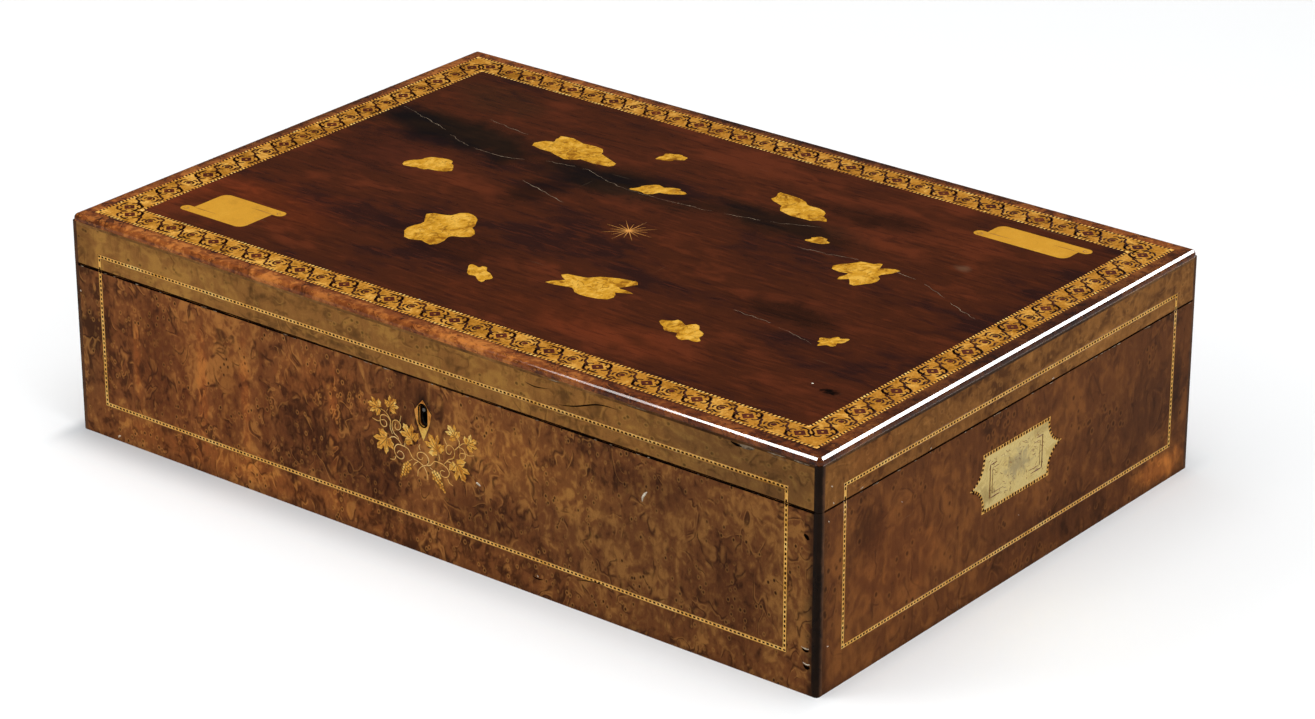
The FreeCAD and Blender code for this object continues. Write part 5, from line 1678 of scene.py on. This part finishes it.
@dataclass
class VineSpray:
    """The key plate and the spray under it: leaves, curling stems and two bunches of grapes."""

    workshop: Workshop
    berry: float = 0.84
    berry_pitch: Point2 = (2.0, 1.9)
    berry_shift: float = 0.35
    rim: Point2 = (3.4, 4.2)

    LEAVES = (Leaf((-38.7, 89.7), 6.3, 172), Leaf((-25.6, 94.0), 6.0, 52),
        Leaf((-32.4, 68.0), 8.5, 228), Leaf((-11.2, 77.9), 8.0, 128),
        Leaf((9.2, 76.4), 8.2, 124), Leaf((24.2, 89.0), 6.1, 132), Leaf((37.8, 86.2), 6.0, 34),
        Leaf((28.4, 66.4), 8.5, 304))
    STEMS = """
        2.9,51.7 2.3,55.6 0.4,59.2 -2.4,61.2 -5.7,62.3 -8.8,62.9 -11,65.6 -12.9,68.1 -17.4,69
        -21.3,68.7 -23.5,66.5 -24.1,63.4 -22.4,60.6 -19.6,59.5 -17.1,60.4 -16.4,62.6 -17.9,64.5
        -20.4,64.5 -21.9,62.6; -22.7,61.2 -24.1,57.9 -27.9,57; -18.2,69.5 -20.2,71.7 -23.5,73
        -26.3,72.3 -27.9,71.2; -20.2,72.5 -21.3,74 -24.1,75.6 -25.4,78.4 -25.4,81.7 -24.1,84
        -21.3,84.8 -19.1,83.4 -18.5,81.2 -19.9,79 -22.1,78.7 -23.2,80.4 -22.4,82.3; -19.1,84.5
        -17.9,89; -25.4,74.5 -27.1,78.4 -26.8,82.9 -27.9,85.1 -30.7,87.9 -34.6,89; -27,83
        -29.1,85.1 -31.8,85.6 -34.6,84.5 -35.2,81.7 -34.9,79 -32.7,77.6 -30.2,78.7 -30.2,81.2
        -32.1,82.3 -34.3,81.5; -35.4,80.6 -37.9,80.1 -41.6,80.9; -29.9,88.6 -28.8,90.6; 1.5,60.9
        3.7,63.4 3.7,66.2 1.5,68.4 -1.6,69 -4.6,67.9 -5.4,65.6 -4.1,64 -1.8,64 -0.7,65.9; -2.7,70
        -3.8,72.3 -2.9,74; -5.4,51.7 -4.9,55.6 -2.9,58.4 -0.7,60.1 2.1,61.2 4.8,62 7.1,64.2
        8.7,65.9 12.1,66.2 15.9,65.6 18.7,64.2 20.4,61.7 19.6,59 17.1,57.6 14.3,57.9 13.1,59.8
        14.3,61.5 16.8,61.5; 19,57.3 20.4,54.8 23.4,53.7; 16.5,66.2 18.2,68.4 20.4,70.6 23.7,72.3
        25.1,75.1 25.1,77.9 27.1,80.1 29.3,82.3 31.5,84.2 34,85.1; 28.7,81.2 31.5,80.9 33.4,79
        33.7,76.2 32.1,74 29.8,74 29,75.9 30.1,77.6 33.2,78.1 37.1,77.9 40.9,79.2; 25,76.5 24.3,79
        21.5,80.4 19.3,79.5 18.2,77.3 19,74.5 21.5,74.5 22.6,76.7; 19,80 17.6,82.3 16.8,84;
        18.2,68.4 20.9,69 23.7,68.1; 12.3,67.3 12.6,69.5 12.3,71.7; -15.5,69 -15.2,71.2 -14.1,73.4;
        29.3,82.3 29,85.1 27.6,86.7; -4.6,62 -7.4,59.8 -8.8,58.1; -9.6,62 -12.4,60.1; 4.8,60.6
        7.1,59.5"""
    BUNCHES = ((-11.6, 59.0, 14.4, 7.4, 236), (7.4, 59.4, 15.6, 7.4, 307))

    def build(self) -> None:
        """Makes the leaves and veins, the stems, the grapes and the key plate with a dark keyhole
        ring.
        """
        shop, front = self.workshop, Side.FRONT
        gold = shop.shelf.get("leaf_gold")
        leaves = join([leaf.plate(gold) for leaf in self.LEAVES], "vine_leaf_plates")
        turn = Matrix.Rotation(front.turn[0], 4, "X")
        leaves.data.transform(Matrix.Translation(Vector(front.place) * MM) @ turn)
        install(tidy_normals(leaves), Body.CASE, "vine_leaves")
        veins = [vein for leaf in self.LEAVES for vein in leaf.veins()]
        install(shop.lay_lines("vine_leaf_veins", veins, front, "vein", 0.6), Body.CASE)
        stems = [Stroke(points(stem), 0.62, 0.7) for stem in self.STEMS.split(";")]
        install(shop.lay_lines("vine_stems", stems, front, "stem", 0.5, 0.03), Body.CASE)
        shop.press("vine_grapes", "grape_shadows", 1, -1, "vein", Body.CASE, Slot.TAN)
        berry = disc(self.berry)
        berries = shop.lay_on("grape_berries", self._berry_places(), berry, front,
            "leaf_gold", 0.14)
        bpy.data.objects.remove(berry)
        install(berries, Body.CASE)
        shop.press("escutcheon", "key_plate", 1, -1, "key_plate", Body.CASE, Slot.TAN)
        install(shop.lay_lines("keyhole_wear", [self._rim()], front, "dirt", 0.6, 0.04), Body.CASE)

    def _rim(self) -> Stroke:
        """A dark ring round the keyhole: two half rounds with straight sides between them.

        Returns:
            The rim.
        """
        course, (radius, rise) = [], self.rim
        for angle in range(10, 371, 20):
            x, y = ray(math.radians(angle), radius)
            course.append((x, SIZES.keyhole + y + math.copysign(rise, y)))
        return Stroke(tuple(course))

    def _berry_places(self) -> list[Point2]:
        """Middles of the berries: a close packing inside each bunch.

        Returns:
            The places, in millimetres.
        """
        places, (pitch, rise), shift = [], self.berry_pitch, self.berry_shift
        for across, up, length, width, direction in self.BUNCHES:
            way = Vector(ray(math.radians(direction)))
            side = Vector((-way.y, way.x))
            rows = int(length / rise)
            for row in range(rows + 1):
                along = 0.9 + row * (length - 1.6) / rows
                share = (min(1.0, 0.45 + along / length * 2.2) if along < length * 0.3
                    else 1.12 - 0.95 * along / length)
                count = max(1, round(2 * max(0.0, width * 0.5 * share) / pitch))
                for step in range(count):
                    offset = ((step - (count - 1) / 2) * pitch
                        + (shift if row % 2 else -shift) * (count > 1))
                    places.append(tuple(Vector((across, up)) + way * along + side * offset))
        return places


@dataclass
class GoldPatches:
    """The golden patches and the two bare scrolls of the lid, with plain engraved lines."""

    workshop: Workshop

    ROLLS = ((-247.9, -146.7, 1), (-194.1, -117.3, -1), (177.4, 136.1, 1), (246.6, 151.9, -1))

    def build(self) -> None:
        """Lays the patches, the scrolls and their rolls."""
        self.workshop.press("island_inlays", "gold_patches", 2, 1, "gold", Body.LID, Slot.GOLD)
        self.workshop.press("scroll_inlays", "bare_scrolls", 2, 1, "scroll_gold", Body.LID,
            Slot.GOLD)
        strokes = []
        for x, y, sign in self.ROLLS:
            curl = [ray(math.radians(a), 0.4 + a / 180) for a in range(0, 400, 40)]
            strokes.append(Stroke(tuple((x - sign * across, y + up) for across, up in curl),
                0.55, 0.6))
            edge = points("3.2,3.7 10.0,3.6 22.0,3.8")
            strokes.append(Stroke(tuple((x + sign * across, y + sign * up) for across, up in edge),
                0.6, 0.2))
        rolls = self.workshop.lay_lines("scroll_rolls", strokes, Side.TOP, "vein", 0.6, 0.042)
        install(rolls, Body.LID)


@dataclass
class Plaques:
    """The worn brass plates at the ends, with a plain engraved frame and a dotted border."""

    workshop: Workshop
    border_half: float = 1.15
    dot_pitch: float = 2.9
    frame: Point3 = (28.0, -11.5, 10.5)
    frame_gap: float = 2.6
    scratches: int = 150

    def build(self) -> None:
        """Makes both plates and their lines."""
        shop, case = self.workshop, Body.CASE
        shop.press("plaque_borders", "plaque_border_bands", 0, 0, "light", case, Slot.TAN)
        dot = small_plate(points("-0.85,-0.9 0.85,-0.9 0.85,0.9 -0.85,0.9"))
        for side, node, outward in ((Side.LEFT, "left_plaque", -1),
                (Side.RIGHT, "right_plaque", 1)):
            shop.press(node, node + "_plate", 0, outward, "plate", case, Slot.PLATE)
            place = (side.place[0], 0.0, SIZES.plaque)
            lines = shop.lay_lines(node + "_engraving", self._frame_lines(), side, "vein", 1.0,
                0.04, place)
            install(lines, case)
            dots = shop.lay_row(node + "_border_dots", [self._border_run(node)], self.dot_pitch,
                dot, side, "dark_dot", 0.15, place)
            install(dots, case)
        bpy.data.objects.remove(dot)

    def _border_run(self, node: str) -> list[Point2]:
        """The closed run in the middle of a plate's border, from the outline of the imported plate.

        Args:
            node: the plate's node.

        Returns:
            The run, in millimetres about the middle of the plate.
        """
        corners = [vertex.co for vertex in frame["nodes"][node].data.vertices]
        outer = max(corners, key=lambda corner: abs(corner.x)).x
        ring = {}
        for corner in corners:
            if abs(corner.x - outer) < 1e-5:
                y, z = corner.y / MM * math.copysign(1, outer), corner.z / MM - SIZES.plaque
                ring[round(math.atan2(z, y), 4)] = (y, z)
        ring = [ring[angle] for angle in sorted(ring)]
        run = []
        for number, (y, z) in enumerate(ring):
            (y0, z0), (y1, z1) = ring[number - 1], ring[(number + 1) % len(ring)]
            way = Vector((y1 - y0, z1 - z0)).normalized()
            run.append((y + way.y * self.border_half, z - way.x * self.border_half))
        return [*run, run[0]]

    def _frame_lines(self) -> list[Stroke]:
        """Two broken corner frames, plain and worn, and scattered scratches.

        Returns:
            The lines.
        """
        strokes = []
        for sign in (-1, 1):
            for inset, width in ((0.0, 1.0), (self.frame_gap, 0.6)):
                reach, foot, head = self.frame
                x, low, high = sign * (reach - inset), foot + inset, head - inset
                strokes.append(Stroke(((x, high), (x, (low + high) / 2), (x, low)), width))
                for level, near, far in ((low, 5.0, 12.0), (high, 3.0, 7.0)):
                    course = ((x, level), (x - sign * near, level), (x - sign * far, level))
                    strokes.append(Stroke(course, width, 0.4))
        maker = random.Random(8)
        for _ in range(self.scratches):
            x, z, angle = (maker.uniform(*limits)
                for limits in ((-29, 29), (-14.0, 14.0), (0, math.pi)))
            half = maker.uniform(0.5, 2.4)
            dx, dz = half * math.cos(angle), half * math.sin(angle) * 0.7
            course = ((x - dx, z - dz), (x, z + maker.uniform(-0.4, 0.4)), (x + dx, z + dz))
            strokes.append(Stroke(course, maker.uniform(0.25, 0.6), 0.3))
        return strokes


@dataclass
class Cracks:
    """Hairline cracks in the lid's veneer, pale scratches and chips."""

    workshop: Workshop
    pieces: int = 6

    HAIRLINES = """
        -263,82 -240,74 -215,66 -190,54 -173,50 -147,50 -130,56; -120,62 -100,66 -86,66 -70,60
        -47,55 -20,55 20,59 48,65 67,70 85,78 108,86; -200,98 -172,93 -140,90; -110,25 -85,18
        -60,10; 100,45 122,47 147,53; 165,52 194,47 220,35 240,25 260,17; 130,-60 160,-62 185,-68
        205,-75"""
    MARKS = (
        ("case_front_scratches", Body.CASE, Side.FRONT, "pale_mark", (
            ("171,87.3 171.3,90 172.8,92.8 174.6,94.8", 1.5, 0.3),
            ("42,61.4 43.4,61.2 45.4,60.2", 1.5, 0.6),
            ("-267.6,2.4 -266.6,3.6 -265.4,4", 1.3, 0.4), ("89.6,13.6 90.4,12.6", 1.1, 0.6),
            ("-295.4,99.6 -294.6,98.8", 1.3, 0.7), ("288,30.2 291,29.6 293.6,30", 0.7, 0.4),
            ("289.5,20.4 292,19.6 294.4,20.2", 0.8, 0.4))),
        ("case_front_holes", Body.CASE, Side.FRONT, "dirt", (
            ("289,102.4 291,101 292.2,99.6", 2.6, 0.6),
            ("288.6,29 291.4,28.2 293.4,28.8", 1.6, 0.5),
            ("290,18.8 292.4,17.6 294,18.6", 2.4, 0.5), ("86,12 90,11.4 94,11.9", 1.0, 0.3),
            ("120,20.2 134,23 147,22.4", 0.9, 0.2))),
        ("lid_front_chips", Body.LID, Side.FRONT, "chip", (
            ("241,145 245,144.6 250,144.9 253,145.3", 2.2, 0.4),
            ("100,146.6 104,146.5 109,146.7", 0.6, 0.3),
            ("262,146.3 268,146.2 275,146.5", 0.8, 0.3),
            ("281,146.6 286,146.3 292,146.4", 0.9, 0.3),
            ("160,146.7 166,146.6 174,146.8", 0.5, 0.3))),
        ("lid_front_smudges", Body.LID, Side.FRONT, "dirt", (
            ("108,132 120,134.4 138,140.4 152,141.4", 0.8, 0.2),
            ("236,145.2 240,144.4 244,144.2", 1.8, 0.3), ("82,139.6 90,138.6 100,140", 0.7, 0.2))),
        ("lid_end_chips", Body.LID, Side.RIGHT, "pale_mark", (
            ("-189.6,132 -188.4,131.2", 1.2, 0.6), ("-187.6,121 -186.8,119.9", 1.0, 0.6),
            ("-161,119.5 -158.6,119.9", 0.8, 0.6), ("-92,119.4 -90.6,119.8", 0.7, 0.6),
            ("36,119.4 38,119.7", 0.7, 0.6))),
        ("case_end_chips", Body.CASE, Side.RIGHT, "pale_mark", (
            ("-192,110.8 -191,110.1", 0.9, 0.6), ("-191.2,30.4 -189.8,30", 1.0, 0.6),
            ("-120,96.2 -119,95.2", 0.5, 0.6), ("4,40.2 5.2,39.8", 0.5, 0.6))),
        ("lid_top_specks", Body.LID, Side.TOP, "pale_mark", (
            ("232.6,-117.6 233.8,-118.4", 1.3, 0.8), ("-30.6,-166.4 -29.8,-166.9", 0.9, 0.8))),
    )

    def build(self) -> None:
        """Lays the cracks and the marks of each face."""
        strokes, maker = [], random.Random(4)
        for line in self.HAIRLINES.split(";"):
            course, corners = [], points(line)
            for (x0, y0), (x1, y1) in zip(corners, corners[1:]):
                for share in (step / self.pieces for step in range(self.pieces)):
                    course.append((x0 + (x1 - x0) * share + maker.uniform(-0.5, 0.5),
                        y0 + (y1 - y0) * share + maker.uniform(-0.7, 0.7)))
            first = 0
            while first < len(course) - 3:
                count = maker.randint(4, 11)
                strokes.append(Stroke(tuple(course[first:first + count]),
                    maker.uniform(0.18, 0.42), 0.3))
                first += count - (1 if maker.random() < 0.6 else -1)
        strokes = [stroke for stroke in strokes if len(stroke.points) > 1]
        install(self.workshop.lay_lines("lid_hairlines", strokes, Side.TOP, "crack", 1.2, 0.02),
            Body.LID)
        for name, body, side, finish, lines in self.MARKS:
            slot, top = (Slot.FIELD, 0.03) if side is Side.TOP else (Slot.BURR, 0.035)
            install(self.workshop.lay_lines(name, Stroke.row(*lines), side, finish, 0.5, top),
                body)


@dataclass
class Linings:
    """Cloth on card inside the box and the lid, with rolled edges and a slack nap."""

    workshop: Workshop
    thick: float = 1.2
    cell: float = 11.0
    roll: Point2 = (1.1, 0.65)
    slack: float = 0.10
    wave: Point2 = (60.0, 45.0)
    held: float = 8.0
    clear: float = 0.02
    close: tuple[float, ...] = (0.25, 0.6, 1.1, 3.0)

    def build(self) -> None:
        """Covers the floor, the walls and the inside of the lid."""
        floor_low, floor_high, walls_low, walls_high, lid_low, lid_high = (v / MM
            for node in ("floor_lining", "wall_linings", "lid_lining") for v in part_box(node))
        x, y, z = walls_high
        half, foot = self._window()
        floor = self._panel("floor_cloth", floor_low, floor_high,
            Matrix.Translation((0, 0, floor_low.z)), 1)
        install(floor, Body.CASE, "floor_lining")
        walls = []
        upright = Matrix.Rotation(math.pi / 2, 4, "X")
        for seed, (name, reach, turn, place, gap) in enumerate((
                ("front", x, math.pi, (0, -y, 0), (-half, foot, half)),
                ("back", x, 0, (0, y, 0), None),
                ("left", y - self.thick, math.pi / 2, (-x, 0, 0), None),
                ("right", y - self.thick, -math.pi / 2, (x, 0, 0), None)), 2):
            stood = Matrix.Translation(place) @ Matrix.Rotation(turn, 4, "Z") @ upright
            walls.append(self._panel(name, (-reach, walls_low.z), (reach, z), stood, seed, gap))
        install(join(walls, "wall_cloths"), Body.CASE, "wall_linings")
        over = Matrix.Translation((0, 0, lid_high.z)) @ Matrix.Rotation(math.pi, 4, "X")
        install(self._panel("lid_cloth", lid_low, lid_high, over, 6), Body.LID,
            "lid_lining")

    @staticmethod
    def _window() -> Point2:
        """Half width and foot of the gap that the front cloth leaves round the lock.

        Returns:
            Both in millimetres.
        """
        corners = [vertex.co / MM for vertex in frame["nodes"]["wall_linings"].data.vertices]
        heights = sorted({round(corner.z, 2) for corner in corners})
        inside = [abs(c.x) for c in corners if c.y < 0 and abs(c.z - heights[-1]) < 0.1
            and abs(c.x) < 100]
        return max(inside), heights[1]

    def _panel(self, name: str, low: Sequence[float], high: Sequence[float], turn: Matrix,
            seed: int, gap: Point3 | None = None) -> Piece:
        """One cloth panel: flat back, slack face and rolled edges.

        Args:
            name: name of the panel.
            low: lower corner on its drawing, in millimetres.
            high: upper corner.
            turn: from the drawing to its place, in millimetres.
            seed: seed of the slack.
            gap: left, foot and right of a gap in the upper edge.

        Returns:
            The panel.
        """
        left, foot, right = (round(g, 3) for g in gap or (0, 0, 0))
        across = self._stations(low[0], high[0], (left, right) if gap else ())
        up = self._stations(low[1], high[1], (foot,) if gap else ())
        shape = bmesh.new()
        top, base = {}, {}
        for i, u in enumerate(across):
            for j, v in enumerate(up):
                near = min(u - low[0], high[0] - u, v - low[1], high[1] - v)
                if gap and v > foot:
                    if left < u < right:
                        continue
                    near = min(near, abs(u - left), abs(u - right))
                elif gap and left < u < right:
                    near = min(near, foot - v)
                stand = Vector((u, v, self._rise(u, v, near, seed)))
                top[i, j] = shape.verts.new(turn @ stand * MM)
                base[i, j] = shape.verts.new(turn @ Vector((u, v, 0.0)) * MM)
        for i in range(len(across) - 1):
            for j in range(len(up) - 1):
                ring = ((i, j), (i + 1, j), (i + 1, j + 1), (i, j + 1))
                if (gap and left < (across[i] + across[i + 1]) / 2 < right
                        and (up[j] + up[j + 1]) / 2 > foot):
                    continue
                shape.faces.new([top[corner] for corner in ring])
                shape.faces.new([base[corner] for corner in reversed(ring)])
        above = {vertex: corner for corner, vertex in top.items()}
        for edge in [e for e in shape.edges if e.is_boundary and e.verts[0] in above]:
            first, last = (above[v] for v in edge.verts)
            shape.faces.new((top[first], base[first], base[last], top[last]))
        panel = tidy_normals(shape_object(name, shape, self.workshop.shelf.get("baize")))
        for face in panel.data.polygons:
            face.use_smooth = True
        return panel

    def _rise(self, u: float, v: float, near: float, seed: int) -> float:
        """How far the cloth stands off its back at a place.

        Args:
            u: the place across.
            v: the place up.
            near: its distance from the nearest edge.
            seed: seed of the slack.

        Returns:
            The rise, in millimetres.
        """
        reach, drop = self.roll
        roll = min(1.0, max(0.0, 1.0 - near / reach))
        wave = noise.noise(Vector((u / self.wave[0], v / self.wave[1], seed * 7.3)))
        slack = self.slack * (1 + wave) * min(1.0, near / self.held)
        return self.thick - self.clear - drop * (1 - math.sqrt(1 - roll * roll)) - slack

    def _stations(self, low: float, high: float, stops: Sequence[float]) -> list[float]:
        """Where the panel's points stand along one way: close by the edges, wide between.

        Args:
            low: first edge, in millimetres.
            high: last edge.
            stops: edges of a gap between them.

        Returns:
            The stations in order.
        """
        marks = [low, *sorted(stops), high]
        stations = set()
        for first, last in zip(marks, marks[1:]):
            count = max(1, round((last - first) / self.cell))
            stations.update(round(first + (last - first) * i / count, 3) for i in range(count + 1))
            stations.update(round(mark, 3) for near in self.close
                for mark in (first + near, last - near))
        return sorted(stations)


def main() -> None:
    """Builds every sub-assembly in order and reports it."""
    Studio().build()
    workshop = Workshop(FinishShelf(), NodeShop())
    for maker in (NodeDresser, Stringings, Border, VineSpray, GoldPatches, Plaques, Cracks,
            Linings):
        log.info("making %s", maker.__name__)
        maker(workshop).build()


if __name__ == "__main__":
    main()
